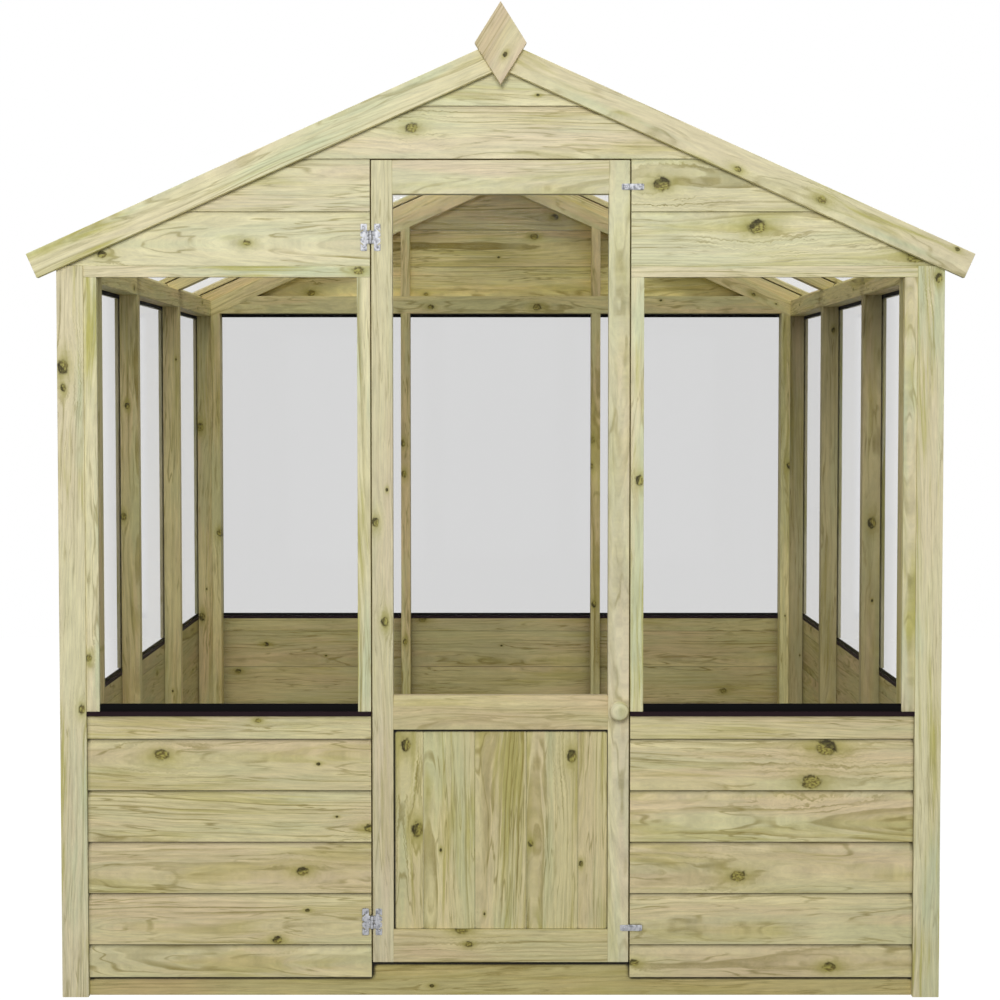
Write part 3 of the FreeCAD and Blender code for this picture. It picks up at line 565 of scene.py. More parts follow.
@made_once
def timber(name):
    """One kind of softwood, with painted shade in its joints, corners and recesses"""
    figure, green, warm, tint, ring, shade = TIMBERS[name]
    wood = settings().timber
    tree = bpy.data.node_groups.get("timber_figure") or timber_group()
    tones = {tone: getattr(wood, tone.lower()) for tone in TONES}
    material, w, finish = new_material(name)
    out = w.group(tree, Ring=wood.ring * ring, Figure=figure, Green=green, Warm=warm, Tint=tint, **tones)
    # Painted shade: ambient occlusion draws the colour towards a dark one where the wood is closed in
    rays = DEEP_SHADE_RAYS if shade.deep else SHADE_RAYS
    corner = w.node("ShaderNodeAmbientOcclusion", samples=rays, only_local=shade.alone)
    w.feed(corner.inputs["Distance"], wood.joint * shade.reach)
    if shade.deep:
        facing = w.node("ShaderNodeNewGeometry").outputs["Normal"]
        w.feed(corner.inputs["Normal"], w.unit(w.shift(facing, LIGHT_SIDE)))
    painted_shade = w.fade(corner.outputs["AO"], shade.full, shade.start, shade.most, 0.0)
    if shade.above:
        _, _, height = w.split(w.place())
        painted_shade = w.times(painted_shade, w.fade(height, shade.above, shade.above + wood.joint))
    # Near-black for the deep painted shadow under proud edges, dark brown for painted shade in joints
    dark = wood.shade if shade.deep else wood.painted_shade
    w.fill(
        finish,
        Base_Color=w.mix(painted_shade, out["Color"], dark),
        Roughness=out["Roughness"],
        Normal=w.bump(out["Height"], strength=0.4, distance=0.0006),
        Specular_IOR_Level=TIMBER_GLOSS,
    )
    return material


@made_once
def clear_sheet(name, held_back, faint=1.0):
    """Clear sheet that holds back a share of the light at each face, and less of it near the front; a larger
    share, growing towards the back, is painted shade on sheets that lie in shade
    """
    material, w, finish = new_material(name)
    place = w.place()
    _, inward, _ = w.split(place)
    smear = w.noise(place, (1.3, 1.3, 0.7))
    fresnel = w.node("ShaderNodeFresnel", SHEET_IOR).outputs[0]
    veil = w.times(w.spread(smear, 0.93, 1.07), held_back, w.fade(inward, *SHEET_FADE, faint, 1.0))
    w.fill(
        finish,
        Base_Color=settings().glazing.tint,
        Alpha=w.add(veil, w.times(fresnel, SHEET_GLINT)),
        Roughness=w.spread(smear, 0.02, 0.06),
        IOR=SHEET_IOR,
    )
    return material


@made_once
def black_strip(name):
    """Black extruded plastic with a painted sheen on the nosing of the sills, and faint draw lines"""
    strip = settings().glazing
    material, w, finish = new_material(name)
    place = w.place()
    _, _, height = w.split(place)
    lines = w.noise(place, (2.0, 2.0, 900.0))
    cloud = w.noise(place, (7.0, 7.0, 40.0), detail=3.0)
    # Painted sheen: below the top of the nosing the black turns purplish
    nosing = w.fade(height, NOSING_TOP, NOSING_TOP + NOSING_FADE, 1.0, 0.0)
    tone = w.mix(nosing, strip.black, strip.painted_sheen)
    tone = w.mix(w.times(w.fade(cloud, 0.5, 0.8), 0.2), tone, STRIP_BLOOM)
    w.fill(
        finish,
        Base_Color=tone,
        Roughness=w.spread(cloud, 0.45, 0.65),
        Normal=w.bump(lines, strength=0.2, distance=0.0003),
        Specular_IOR_Level=STRIP_GLOSS,
    )
    return material


@made_once
def zinc(name):
    """Zinc plating with dull cloudy patches and fine scratches"""
    metal = settings().ironmongery
    material, w, finish = new_material(name)
    place = w.place()
    cloud = w.noise(place, scale=160.0, detail=3.0)
    scratch = w.noise(place, (900.0, 900.0, 90.0))
    w.fill(
        finish,
        Base_Color=w.mix(w.fade(cloud, 0.42, 0.72), metal.zinc, metal.dull),
        Roughness=w.add(w.spread(cloud, 0.50, 0.66), w.sway(scratch, 0.05)),
        Normal=w.bump(scratch, strength=0.15, distance=0.0002),
        Metallic=1.0,
    )
    return material


def pick(*things):
    """Deselect everything, then select these and make the last one active"""
    bpy.ops.object.select_all(action="DESELECT")
    for thing in things:
        thing.select_set(True)
    bpy.context.view_layer.objects.active = things[-1]


def open_cage(piece, kind):
    """Edit one piece, all of it selected, by its corners, edges or faces"""
    pick(piece)
    bpy.ops.object.mode_set(mode="EDIT")
    bpy.ops.mesh.select_mode(type=kind)
    bpy.ops.mesh.select_all(action="SELECT")


def close_cage():
    bpy.ops.object.mode_set(mode="OBJECT")


def place_new(name):
    """Name the primitive just added, and put its place in its mesh"""
    made = bpy.context.view_layer.objects.active
    made.name = name
    bpy.ops.object.transform_apply(location=True, rotation=True, scale=True)
    return made


def solid_numbers(mesh):
    """The closed solid that each of a CAD node's triangles belongs to, which come one solid after another"""
    numbers = []
    unmatched = {}
    solid = 0
    for face in mesh.polygons:
        numbers.append(solid)
        corners = [tuple(round(c / MERGE) for c in mesh.vertices[v].co) for v in face.vertices]
        for start, end in zip(corners, corners[1:] + corners[:1]):
            partner = (end, start)
            if unmatched.get(partner):
                unmatched[partner] -= 1
            else:
                unmatched[(start, end)] = unmatched.get((start, end), 0) + 1
        if not any(unmatched.values()):
            unmatched = {}
            solid += 1
    if unmatched:
        raise RuntimeError(f"{mesh.name} has an open solid")
    return numbers


def solid_boxes(node):
    """Lowest and highest corner of each solid of a CAD node"""
    mesh = frame["nodes"][node].data
    points = {}
    for face, solid in zip(mesh.polygons, solid_numbers(mesh)):
        points.setdefault(solid, []).extend(mesh.vertices[v].co for v in face.vertices)
    boxes = []
    for corners in points.values():
        spread = list(zip(*corners))
        boxes.append((Vector([min(c) for c in spread]), Vector([max(c) for c in spread])))
    return boxes


def own_copy(node, name):
    """A merged copy of a CAD node with flat whole faces, ready to be shaped"""
    pick(frame["nodes"][node])
    bpy.ops.object.duplicate()
    copy = bpy.context.view_layer.objects.active
    bpy.ops.object.parent_clear(type="CLEAR_KEEP_TRANSFORM")
    for key in list(copy.keys()):
        del copy[key]
    copy.name = name
    copy.data.name = name
    copy.data.materials.clear()
    numbers = solid_numbers(copy.data)
    marks = copy.data.attributes.new("solid", "INT", "FACE")
    marks.data.foreach_set("value", numbers)
    open_cage(copy, "FACE")
    for solid in range(numbers[-1] + 1):
        bpy.ops.mesh.select_all(action="DESELECT")
        cage = bmesh.from_edit_mesh(copy.data)
        layer = cage.faces.layers.int["solid"]
        for face in cage.faces:
            face.select_set(face[layer] == solid)
        bmesh.update_edit_mesh(copy.data)
        bpy.ops.mesh.remove_doubles(threshold=MERGE)
    bpy.ops.mesh.select_all(action="SELECT")
    bpy.ops.mesh.dissolve_limited(angle_limit=math.radians(FLAT_WITHIN))
    close_cage()
    copy.data.attributes.remove(copy.data.attributes["solid"])
    return copy


def round_corners(piece, axis, ends, radius):
    """Round the edges of a piece that run along Y and lie at one of its ends along another axis"""
    open_cage(piece, "EDGE")
    bpy.ops.mesh.select_all(action="DESELECT")
    cage = bmesh.from_edit_mesh(piece.data)
    for edge in cage.edges:
        start, end = (v.co for v in edge.verts)
        straight = abs((end - start).normalized().dot(Y)) > PARALLEL
        middle = ((start + end) / 2).dot(axis)
        if straight and min(abs(middle - place) for place in ends) < MERGE:
            edge.select_set(True)
    bmesh.update_edit_mesh(piece.data)
    bpy.ops.mesh.bevel(offset=radius, segments=CORNER_STEPS, affect="EDGES")
    close_cage()


def block(name, middle, size, tilt=0.0):
    """A plain block to cut with or to shape further, turned about Y"""
    bpy.ops.object.select_all(action="DESELECT")
    bpy.ops.mesh.primitive_cube_add(size=1.0, location=middle, rotation=(0.0, tilt, 0.0), scale=size)
    return place_new(name)


def join(*pieces):
    """One object from several, named as the last one"""
    pick(*pieces)
    if len(pieces) > 1:
        bpy.ops.object.join()
    return pieces[-1]


def cut(piece, *tools):
    """Cut tools out of a piece and throw them away"""
    tool = join(*tools)
    pick(piece)
    opening = piece.modifiers.new("opening", "BOOLEAN")
    opening.operation = "DIFFERENCE"
    opening.solver = "EXACT"
    opening.use_self = True
    opening.object = tool
    bpy.ops.object.modifier_apply(modifier=opening.name)
    bpy.data.objects.remove(tool)


def smooth(piece):
    """Shade a piece smooth except at its sharp edges"""
    pick(piece)
    bpy.ops.object.shade_smooth_by_angle(angle=math.radians(SMOOTH_UNDER))


def turned(name, x, z, steps, around):
    """A piece turned on a lathe that lies along Y: each step is a depth and a radius"""
    bpy.ops.object.select_all(action="DESELECT")
    depth, radius = steps[0]
    bpy.ops.mesh.primitive_circle_add(
        vertices=around,
        radius=radius,
        fill_type="NGON",
        location=(x, depth, z),
        rotation=(math.radians(90), 0.0, 0.0),
    )
    piece = place_new(name)
    open_cage(piece, "FACE")
    for next_depth, next_radius in steps[1:]:
        bpy.ops.mesh.extrude_region_move(TRANSFORM_OT_translate={"value": (0.0, next_depth - depth, 0.0)})
        grow = next_radius / radius
        bpy.ops.transform.resize(value=(grow, 1.0, grow), center_override=(x, next_depth, z))
        depth = next_depth
        radius = next_radius
    bpy.ops.mesh.select_all(action="SELECT")
    bpy.ops.mesh.normals_make_consistent(inside=False)
    close_cage()
    return piece


def soften(piece, width):
    """Round the sharp edges of a piece"""
    pick(piece)
    bevel = piece.modifiers.new("edges", "BEVEL")
    bevel.width = width
    bevel.segments = EDGE_STEPS
    bevel.limit_method = "ANGLE"
    bevel.angle_limit = math.radians(SHARP_OVER)
    bpy.ops.object.modifier_apply(modifier=bevel.name)


def islands(mesh):
    """Vertex numbers of each separate board of a mesh, in a steady order"""
    leader = list(range(len(mesh.vertices)))

    def find(v):
        while leader[v] != v:
            leader[v] = leader[leader[v]]
            v = leader[v]
        return v

    for edge in mesh.edges:
        leader[find(edge.vertices[0])] = find(edge.vertices[1])
    boards = {}
    for v in range(len(mesh.vertices)):
        boards.setdefault(find(v), []).append(v)
    return sorted(boards.values(), key=lambda board: board[0])


# Knots that show on the front of a piece, listed one by one: across, height and radius in millimetres
FRONT_KNOTS = {
    "front_left_cladding": (
        (-525, 605, 5.5), (-735, 530, 12), (-395, 510, 3.5), (-355, 395, 2.5),
        (-285, 370, 9), (-430, 275, 10), (-420, 190, 4), (-485, 125, 9),
    ),
    "front_right_cladding": (
        (705, 545, 18), (675, 470, 16), (515, 265, 13), (715, 65, 11),
        (290, 75, 8),
    ),
    "corner_trims": (
        (-940, 1370, 12), (-940, 1325, 6.5), (-905, 630, 7.5), (940, 1560, 8),
    ),
    "front_beads": (
        (-890, 740, 6.5), (-305, 1575, 9), (300, 1125, 9),
    ),
    "front_gable_cladding": (
        (-855, 1610, 8), (-545, 1635, 6.5), (-190, 1880, 11), (345, 1760, 15),
        (550, 1670, 16), (890, 1605, 15), (80, 1950, 3),
    ),
    "front_bargeboards": (
        (505, 1790, 6), (685, 1725, 9), (975, 1620, 4.5),
    ),
    "finials": ((10, 2030, 4.5),),
    "door_stiles": (
        (-245, 1105, 3), (-270, 1035, 8), (-250, 820, 8),
    ),
    "door_panel": (
        (-205, 550, 11), (-180, 365, 13), (-130, 320, 3), (-35, 180, 2.5),
        (65, 335, 6.5), (155, 525, 11), (175, 290, 5),
    ),
    "door_bottom_rail": (
        (-85, 148, 11), (-70, 115, 6.5),
    ),
    "front_bottom_rail": ((-150, 20, 4),),
}
MM_PER_METRE = 1000
PLAIN_FRONTS = "door_top_rail door_mid_rail door_knob".split()

# Knots by chance: how many to a metre, how many of them are small, their least and greatest radius, and the
# shares of a board's half length and half width that they keep to
KNOTS_PER_METRE = 1.6
SMALL_KNOT_SHARE = 0.45
SMALL_KNOT = (0.0018, 0.0034)
LARGE_KNOT = (0.005, 0.0115)
WIDEST_KNOT = 0.6
KNOTS_ALONG = 0.95
KNOTS_ACROSS = 0.9


def front_knots(node, corners, axes, middle, half):
    """The listed knots of a piece that lie on one of its boards, in the board's own directions"""
    found = []
    place = sum(corner.y for corner in corners) / len(corners)
    for knot in FRONT_KNOTS.get(node, ()):
        x, z, radius = (size / MM_PER_METRE for size in knot)
        spot = Vector((x, place, z))
        offset = [spot.dot(axis) - m for axis, m in zip(axes, middle)]
        if place < 0 and abs(offset[0]) < half[0] and abs(offset[1]) < half[1] + radius / 2:
            found.append((offset[0], offset[1], radius))
    return found


def chance_knots(draw, half):
    """A few knots at random places on one board"""
    wanted = half[0] * 2 * KNOTS_PER_METRE
    count = int(wanted) + (draw.random() < wanted % 1)
    found = []
    for _ in range(min(count, KNOTS_PER_BOARD)):
        small = draw.random() < SMALL_KNOT_SHARE
        radius = min(draw.uniform(*(SMALL_KNOT if small else LARGE_KNOT)), half[1] * WIDEST_KNOT)
        along = draw.uniform(-KNOTS_ALONG, KNOTS_ALONG) * half[0]
        across = draw.uniform(-KNOTS_ACROSS, KNOTS_ACROSS) * half[1]
        found.append((along, across, radius))
    return found


def write_grain(piece, node, facing, run=None):
    """Give each board of a piece its own grain directions, seed and knots"""
    mesh = piece.data
    draw = random.Random(piece.name)
    spot_names = [f"knot_{i}" for i in range(KNOTS_PER_BOARD)]
    for name in ("grain", *spot_names):
        mesh.attributes.new(name, "FLOAT_VECTOR", "POINT")
    mesh.attributes.new("board", "FLOAT", "POINT")
    grain, seed = (mesh.attributes[name] for name in ("grain", "board"))
    spots = [mesh.attributes[name] for name in spot_names]
    board_of = {}
    boards = islands(mesh)
    for number, board in enumerate(boards):
        for v in board:
            board_of[v] = number
    longest = [(0.0, Z)] * len(boards)
    for edge in mesh.edges:
        start, end = (mesh.vertices[v].co for v in edge.vertices)
        number = board_of[edge.vertices[0]]
        reach = (end - start).length
        if reach > longest[number][0] + MERGE:
            longest[number] = (reach, (end - start) / reach)
    for number, board in enumerate(boards):
        along = run or longest[number][1]
        if max(along, key=abs) < 0:
            along = -along
        depth = (facing - along * facing.dot(along)).normalized()
        across = depth.cross(along)
        corners = [mesh.vertices[v].co for v in board]
        axes = (along, across, depth)
        low = [min(c.dot(axis) for c in corners) for axis in axes]
        high = [max(c.dot(axis) for c in corners) for axis in axes]
        middle = [(a + b) / 2 for a, b in zip(low, high)]
        half = [(b - a) / 2 for a, b in zip(low, high)]
        value = draw.random()
        knots = front_knots(node, corners, axes, middle, half)
        if node not in FRONT_KNOTS and node not in PLAIN_FRONTS:
            knots = chance_knots(draw, half)
        knots = (knots + [(0.0, 0.0, 0.0)] * KNOTS_PER_BOARD)[:KNOTS_PER_BOARD]
        for v in board:
            point = mesh.vertices[v].co
            grain.data[v].vector = [point.dot(axis) - m for axis, m in zip(axes, middle)]
            seed.data[v].value = value
            for layer, knot in zip(spots, knots):
                layer.data[v].vector = knot


def dress(piece, material, slot, body, *nodes):
    """Give a finished piece its material and body, and hide the CAD nodes it stands for; the slot is not
    used
    """
    piece.data.materials.clear()
    piece.data.materials.append(material)
    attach(piece, body)
    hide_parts(*nodes)


def galvanise(piece, body, node):
    """Smooth a metal piece and dress it in zinc"""
    smooth(piece)
    dress(piece, zinc("zinc_plate"), "galvanised", body, node)


def plane(piece, node, kind, facing, body="house", run=None):
    """Soften the edges of a timber piece, lay its grain and dress it"""
    soften(piece, settings().timber.edge)
    write_grain(piece, node, facing, run)
    dress(piece, timber(kind), "softwood", body, node)


def saw(nodes, kind, facing, body="house", run=None):
    """Turn CAD nodes into planed timber"""
    for node in nodes.split():
        plane(own_copy(node, f"{node}_timber"), node, kind, facing, body, run)


class GREENHOUSE_OT_framing(bpy.types.Operator):
    """Saw the rails, posts, studs, headers and gable rafters"""

    bl_idname = "greenhouse.framing"
    bl_label = "Framing"

    def execute(self, context):
        saw("front_posts back_posts front_gable_rafters back_gable_rafters", "framing_timber", Y)
        saw("door_posts front_headers back_studs back_header door_stops", "framing_timber", Y)
        saw("wall_plates", "framing_timber", X)
        saw("left_studs", "framing_timber", Y)
        # The right studs take a darker copy of the framing timber: painted shade
        saw("right_studs", "shaded_timber", Y)
        saw("front_bottom_rail back_bottom_rail", "rail_timber", Y)
        saw("side_bottom_rails", "rail_timber", X)
        return {"FINISHED"}


class GREENHOUSE_OT_cladding(bpy.types.Operator):
    """Plane the overlapping boards of the walls and gables"""

    bl_idname = "greenhouse.cladding"
    bl_label = "Cladding"

    def execute(self, context):
        saw("front_left_cladding front_right_cladding", "cladding_timber", Y, run=X)
        saw("front_gable_cladding", "gable_timber", Y, run=X)
        saw("back_gable_cladding", "back_gable_timber", Y, run=X)
        saw("back_cladding", "wall_timber", Y, run=X)
        saw("left_cladding right_cladding", "wall_timber", X, run=Y)
        return {"FINISHED"}


class GREENHOUSE_OT_trims(bpy.types.Operator):
    """Cut the beads, corner trims, bargeboards and finials"""

    bl_idname = "greenhouse.trims"
    bl_label = "Trims"

    def execute(self, context):
        saw("front_beads back_beads corner_trims front_bargeboards back_bargeboards", "trim_timber", Y)
        saw("side_beads", "trim_timber", X)
        saw("finials", "finial_timber", Y, run=FINIAL_GRAIN)
        return {"FINISHED"}


class GREENHOUSE_OT_roof(bpy.types.Operator):
    """Cut the roof frames, battens and ridge capping"""

    bl_idname = "greenhouse.roof"
    bl_label = "Roof"

    def execute(self, context):
        saw("left_roof_frame left_roof_battens", "framing_timber", Z)
        saw("right_roof_frame right_roof_battens", "framing_timber", Z)
        saw("ridge_capping", "framing_timber", Z)
        return {"FINISHED"}


class GREENHOUSE_OT_door_leaf(bpy.types.Operator):
    """Join the stiles, rails and tongued boards of the door"""

    bl_idname = "greenhouse.door_leaf"
    bl_label = "Door leaf"

    def execute(self, context):
        saw("door_stiles door_top_rail", "door_timber", Y, "door")
        saw("door_mid_rail door_bottom_rail", "door_rail_timber", Y, "door")

        panel = own_copy("door_panel", "door_panel_timber")
        places = sorted(solid_boxes("door_panel"), key=lambda box: box[0].x)
        tongues = []
        for (low_corner, left), (right, high_corner) in zip(places, places[1:]):
            size = high_corner - low_corner
            tongue = (right.x - left.x + size.y * TONGUE_LAP, size.y * TONGUE_THICK, size.z)
            middle = (low_corner + high_corner) / 2
            middle.x = (left.x + right.x) / 2
            middle.y = low_corner.y + settings().timber.groove + tongue[1] / 2
            tongues.append(block("door_tongue", middle, tongue))
        plane(join(*tongues, panel), "door_panel", "door_board_timber", Y, "door")
        return {"FINISHED"}


class GREENHOUSE_OT_glazing(bpy.types.Operator):
    """Finish the clear sheets and the black strips"""

    bl_idname = "greenhouse.glazing"
    bl_label = "Glazing"

    def execute(self, context):
        glass = settings().glazing
        clear = clear_sheet("clear_sheet", glass.clear)
        # Darker sheets at the back and sides: painted shade
        shaded_backs = clear_sheet("hazy_sheet", glass.back_shade)
        thin = clear_sheet("side_sheet", glass.side, 0.0)
        sheets = {
            clear: "front_panes left_roof_panes right_roof_panes door_pane",
            shaded_backs: "back_panes",
            thin: "left_panes right_panes",
        }
        for material, nodes in sheets.items():
            for node in nodes.split():
                mesh = frame["nodes"][node].data
                mesh.materials.clear()
                mesh.materials.append(material)
        for node in "front_sills back_sill side_sills head_strips".split():
            piece = own_copy(node, f"{node}_extrusion")
            soften(piece, STRIP_EDGE)
            dress(piece, black_strip("black_extrusion"), "black_strip", "house", node)
        return {"FINISHED"}


class GREENHOUSE_OT_hinges(bpy.types.Operator):
    """Stamp the slotted leaves of the hinges and fit their pins"""

    bl_idname = "greenhouse.hinges"
    bl_label = "Hinges"

    def execute(self, context):
        iron = settings().ironmongery
        for node, body, inward in (("hinge_wall_leaves", "house", 1), ("hinge_door_leaves", "door", -1)):
            leaves = own_copy(node, f"{node}_stamped")
            boxes = solid_boxes(node)
            round_corners(leaves, Z, [corner.z for box in boxes for corner in box], iron.corner)
            webs = [web for low, high in boxes for web in self.webs(inward, low, high)]
            join(*webs, leaves)
            soften(leaves, LEAF_EDGE)
            tools = []
            for low, high in boxes:
                edge = low.x if inward > 0 else high.x
                tools += self.openings(edge, inward, low, high)
            cut(leaves, *tools)
            galvanise(leaves, body, node)
        pins = own_copy("hinge_pins", "hinge_pins_drawn")
        soften(pins, PIN_EDGE)
        galvanise(pins, "house", "hinge_pins")
        return {"FINISHED"}

    def webs(self, inward, low, high):
        """Strips that carry the plate of one leaf up to the knuckles of the other leaf"""
        iron = settings().ironmongery
        hinge = next(joint for joint in frame["joints"] if joint["name"] == "door_hinge")
        axis = hinge["pos_m"][0]
        barrel = high.x - axis if inward > 0 else axis - low.x
        near = barrel + iron.play
        x = axis - inward * (near + iron.web) / 2
        y = high.y - iron.plate / 2
        heights = (-iron.knuckle, iron.knuckle) if inward > 0 else (0.0,)
        strips = []
        for up in heights:
            middle = (x, y, (low.z + high.z) / 2 + up)
            strips.append(block("web", middle, (iron.web - near, iron.plate, iron.knuckle)))
        return strips

    def openings(self, edge, inward, low, high):
        """Tools for the notch and the two slots at the outer edge of one leaf"""
        iron = settings().ironmongery
        depth = (high.y - low.y) * 2
        middle = (low + high) / 2
        notch = block("notch", (edge, middle.y, middle.z), (iron.notch, depth, iron.notch), math.radians(45))
        open_cage(notch, "FACE")
        reach = math.sqrt(2)
        flat = (reach, 1.0, iron.notch_tall / iron.notch / reach)
        bpy.ops.transform.resize(value=flat, center_override=(edge, middle.y, middle.z))
        close_cage()
        tools = [notch]
        for up in (-1, 1):
            long = iron.slot * SLOT_TOOL
            inside = iron.slot - long / 2
            x = edge + inward * inside * math.cos(iron.slant)
            z = middle.z + up * ((high.z - low.z) * SLOT_HEIGHT + inside * math.sin(iron.slant))
            tilt = -iron.slant * inward * up
            tools.append(block("slot", (x, middle.y, z), (long, depth, iron.slot_wide), tilt))
        return tools


# Along a turn button, in shares of its length: the edges of its ridges, and the plain spans between them
RIDGE_EDGES = (0.05, 0.10, 0.31, 0.37, 0.48, 0.54, 0.66, 0.72, 0.89, 0.95)
PLAIN_SPANS = ((-1.0, 0.07), (0.36, 0.49), (0.53, 0.67), (0.94, 2.0))


class GREENHOUSE_OT_turn_buttons(bpy.types.Operator):
    """Press the ridged plates of the turn buttons"""

    bl_idname = "greenhouse.turn_buttons"
    bl_label = "Turn buttons"

    def execute(self, context):
        iron = settings().ironmongery
        for name in ("upper", "lower"):
            node = f"{name}_turn_button"
            low, high = solid_boxes(node)[0]
            plate = own_copy(node, f"{node}_pressed")
            round_corners(plate, X, (low.x, high.x), iron.corner)
            open_cage(plate, "VERT")
            for edge in RIDGE_EDGES:
                x = low.x + (high.x - low.x) * edge
                bpy.ops.mesh.select_all(action="SELECT")
                bpy.ops.mesh.bisect(plane_co=(x, 0.0, 0.0), plane_no=(1.0, 0.0, 0.0))
            bpy.ops.mesh.select_all(action="DESELECT")
            cage = bmesh.from_edit_mesh(plate.data)
            for corner in cage.verts:
                along = (corner.co.x - low.x) / (high.x - low.x)
                plain = any(start < along < end for start, end in PLAIN_SPANS)
                corner.select_set(plain and corner.co.y < low.y + MERGE)
            bmesh.update_edit_mesh(plate.data)
            bpy.ops.transform.translate(value=(0.0, iron.sunk, 0.0))
            close_cage()
            soften(plate, BUTTON_EDGE)
            galvanise(plate, f"{name}_button", node)
        return {"FINISHED"}


# From the rim of a screw's dome outwards: shares of its height that are left, and of the head's radius there
DOME_PROFILE = ((0.55, 0.98), (0.2, 0.82), (0.0, 0.5))


class GREENHOUSE_OT_screws(bpy.types.Operator):
    """Turn one cross-headed screw for each kind of hole and set its copies"""

    bl_idname = "greenhouse.screws"
    bl_label = "Screws"

    def execute(self, context):
        for node, body in (
            ("hinge_wall_screws", "house"),
            ("hinge_door_screws", "door"),
            ("turn_button_screws", "door"),
        ):
            places = solid_boxes(node)
            screw = self.model(f"{node}_turned", *places[0])
            first = (places[0][0] + places[0][1]) / 2
            copies = []
            for low, high in places[1:]:
                pick(screw)
                bpy.ops.object.duplicate()
                bpy.ops.transform.translate(value=(low + high) / 2 - first)
                bpy.ops.object.transform_apply(location=True, rotation=True, scale=True)
                copies.append(context.view_layer.objects.active)
            join(*copies, screw)
            galvanise(screw, body, node)
        return {"FINISHED"}

    def model(self, name, low, high):
        """A domed screw with a cross in its head, in the box of its solid"""
        middle = (low + high) / 2
        head = (high.x - low.x) / 2
        shank = head * SCREW_SHANK
        dome = head * SCREW_DOME
        steps = [
            (high.y, shank * SCREW_TIP),
            (high.y - shank * 2, shank),
            (low.y + dome, shank),
            (low.y + dome - MERGE, head),
            *((low.y + dome * inward, head * wide) for inward, wide in DOME_PROFILE),
        ]
        screw = turned(name, middle.x, middle.z, steps, SCREW_SIDES)
        recess = settings().ironmongery.recess
        face = (middle.x, low.y, middle.z)
        bar = (recess, dome, recess * SCREW_CROSS)
        post = (recess * SCREW_CROSS, dome, recess)
        cut(screw, block("bar", face, bar), block("post", face, post))
        return screw


# From the door outwards: shares of the knob's length, and of its radius there
KNOB_PROFILE = (
    (0.00, 0.62), (0.03, 0.64), (0.10, 0.57), (0.22, 0.52), (0.33, 0.58),
    (0.42, 0.73), (0.52, 0.91), (0.60, 0.985), (0.67, 1.00), (0.75, 0.985),
    (0.83, 0.93), (0.90, 0.83), (0.955, 0.66), (0.985, 0.42), (1.00, 0.10),
)


class GREENHOUSE_OT_knob(bpy.types.Operator):
    """Turn the door knob from one piece of wood"""

    bl_idname = "greenhouse.knob"
    bl_label = "Knob"

    def execute(self, context):
        low, high = solid_boxes("door_knob")[0]
        middle = (low + high) / 2
        radius = (high.x - low.x) / 2
        long = high.y - low.y
        steps = [(high.y - long * out, radius * wide) for out, wide in KNOB_PROFILE]
        knob = turned("door_knob_turned", middle.x, middle.z, steps, KNOB_SIDES)
        write_grain(knob, "door_knob", Y, Z)
        smooth(knob)
        dress(knob, timber("knob_timber"), "softwood", "door", "door_knob")
        return {"FINISHED"}


def light_path_white(w):
    """1 where the camera, a reflection or a view through glass looks"""
    path = w.node("ShaderNodeLightPath").outputs
    seen = w.add(path["Is Camera Ray"], path["Is Glossy Ray"], path["Is Transmission Ray"])
    return w.math("MINIMUM", seen, 1.0)


# Lamps, in metres, and the spot that they are aimed at
Lamp = namedtuple("Lamp", "name place width depth")
FRONT_LAMP = Lamp("front_lamp", (-0.4, -6.0, 2.9), 1.6, 1.6)
TOP_LAMP = Lamp("top_lamp", (0.0, -0.6, 4.5), 3.6, 0.8)
LAMP_AIM = Vector((0.0, 0.0, 1.0))


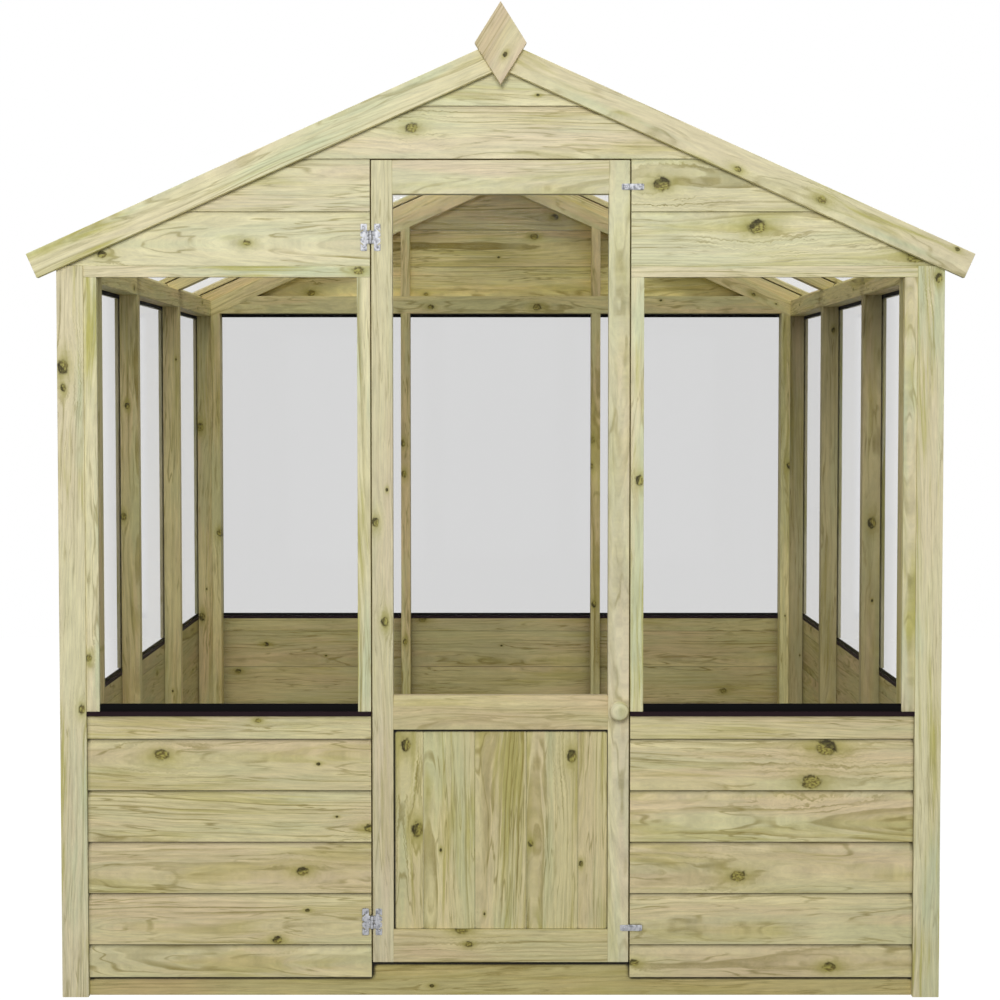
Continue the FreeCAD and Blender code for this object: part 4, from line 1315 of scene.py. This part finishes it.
class GREENHOUSE_OT_stage(bpy.types.Operator):
    """Lay the floor and set up the light and the camera"""

    bl_idname = "greenhouse.stage"
    bl_label = "Stage"

    def execute(self, context):
        scene = context.scene
        stage = settings().stage
        scene.view_settings.view_transform = "Standard"

        bpy.ops.object.select_all(action="DESELECT")
        bpy.ops.mesh.primitive_grid_add(x_subdivisions=2, y_subdivisions=2, size=FLOOR_SIDE)
        floor = context.view_layer.objects.active
        floor.name = "studio_floor"
        material, w, finish = new_material("studio_floor")
        glow = w.times(light_path_white(w), stage.glow)
        w.fill(finish, Base_Color=stage.floor, Roughness=1.0, Specular_IOR_Level=0.0)
        w.fill(finish, Emission_Color=WHITE, Emission_Strength=glow)
        floor.data.materials.append(material)

        world = bpy.data.worlds.new("studio")
        scene.world = world
        world.use_nodes = True
        w = Wiring(world.node_tree)
        sky = world.node_tree.nodes["Background"].inputs
        w.fill(sky, Color=WHITE, Strength=w.math("MAXIMUM", light_path_white(w), stage.fill))

        for lamp, watts in ((FRONT_LAMP, stage.key), (TOP_LAMP, stage.top)):
            bpy.ops.object.light_add(type="AREA", location=lamp.place)
            made = context.view_layer.objects.active
            made.name = lamp.name
            made.data.energy = watts
            made.data.shape = "RECTANGLE"
            made.data.size = lamp.width
            made.data.size_y = lamp.depth
            made.rotation_euler = (LAMP_AIM - Vector(lamp.place)).to_track_quat("-Z", "Y").to_euler()

        bpy.ops.object.camera_add(
            location=(0.0, -stage.away, stage.eye),
            rotation=(math.radians(90) - stage.tilt, 0.0, 0.0),
        )
        camera = context.view_layer.objects.active
        camera.name = "photo_camera"
        camera.data.sensor_width = SENSOR_WIDE
        camera.data.lens = stage.lens
        camera.data.shift_y = -stage.rise
        camera.data.shift_x = -stage.aside
        scene.camera = camera
        return {"FINISHED"}


class GREENHOUSE_PT_panel(bpy.types.Panel):
    """Steps of the greenhouse, in order"""

    bl_idname = "GREENHOUSE_PT_panel"
    bl_label = "Greenhouse"
    bl_space_type = "VIEW_3D"
    bl_region_type = "UI"
    bl_category = "Greenhouse"

    def draw(self, context):
        for name in ("timber", "glazing", "ironmongery", "stage"):
            box = self.layout.box()
            group = getattr(context.scene.greenhouse, name)
            for key in group.__annotations__:
                box.prop(group, key)
        for step in STEPS:
            self.layout.operator(step.bl_idname)


STEPS = (
    GREENHOUSE_OT_framing,
    GREENHOUSE_OT_cladding,
    GREENHOUSE_OT_trims,
    GREENHOUSE_OT_roof,
    GREENHOUSE_OT_door_leaf,
    GREENHOUSE_OT_glazing,
    GREENHOUSE_OT_hinges,
    GREENHOUSE_OT_turn_buttons,
    GREENHOUSE_OT_screws,
    GREENHOUSE_OT_knob,
    GREENHOUSE_OT_stage,
)
CLASSES = (
    TimberSettings,
    GlazingSettings,
    IronmongerySettings,
    StageSettings,
    GreenhouseSettings,
    *STEPS,
    GREENHOUSE_PT_panel,
)


def register():
    for each in CLASSES:
        bpy.utils.register_class(each)
    bpy.types.Scene.greenhouse = PointerProperty(type=GreenhouseSettings)


def unregister():
    del bpy.types.Scene.greenhouse
    for each in reversed(CLASSES):
        bpy.utils.unregister_class(each)


def main():
    register()
    bpy.ops.greenhouse.framing()
    bpy.ops.greenhouse.cladding()
    bpy.ops.greenhouse.trims()
    bpy.ops.greenhouse.roof()
    bpy.ops.greenhouse.door_leaf()
    bpy.ops.greenhouse.glazing()
    bpy.ops.greenhouse.hinges()
    bpy.ops.greenhouse.turn_buttons()
    bpy.ops.greenhouse.screws()
    bpy.ops.greenhouse.knob()
    bpy.ops.greenhouse.stage()


if __name__ == "__main__":
    main()
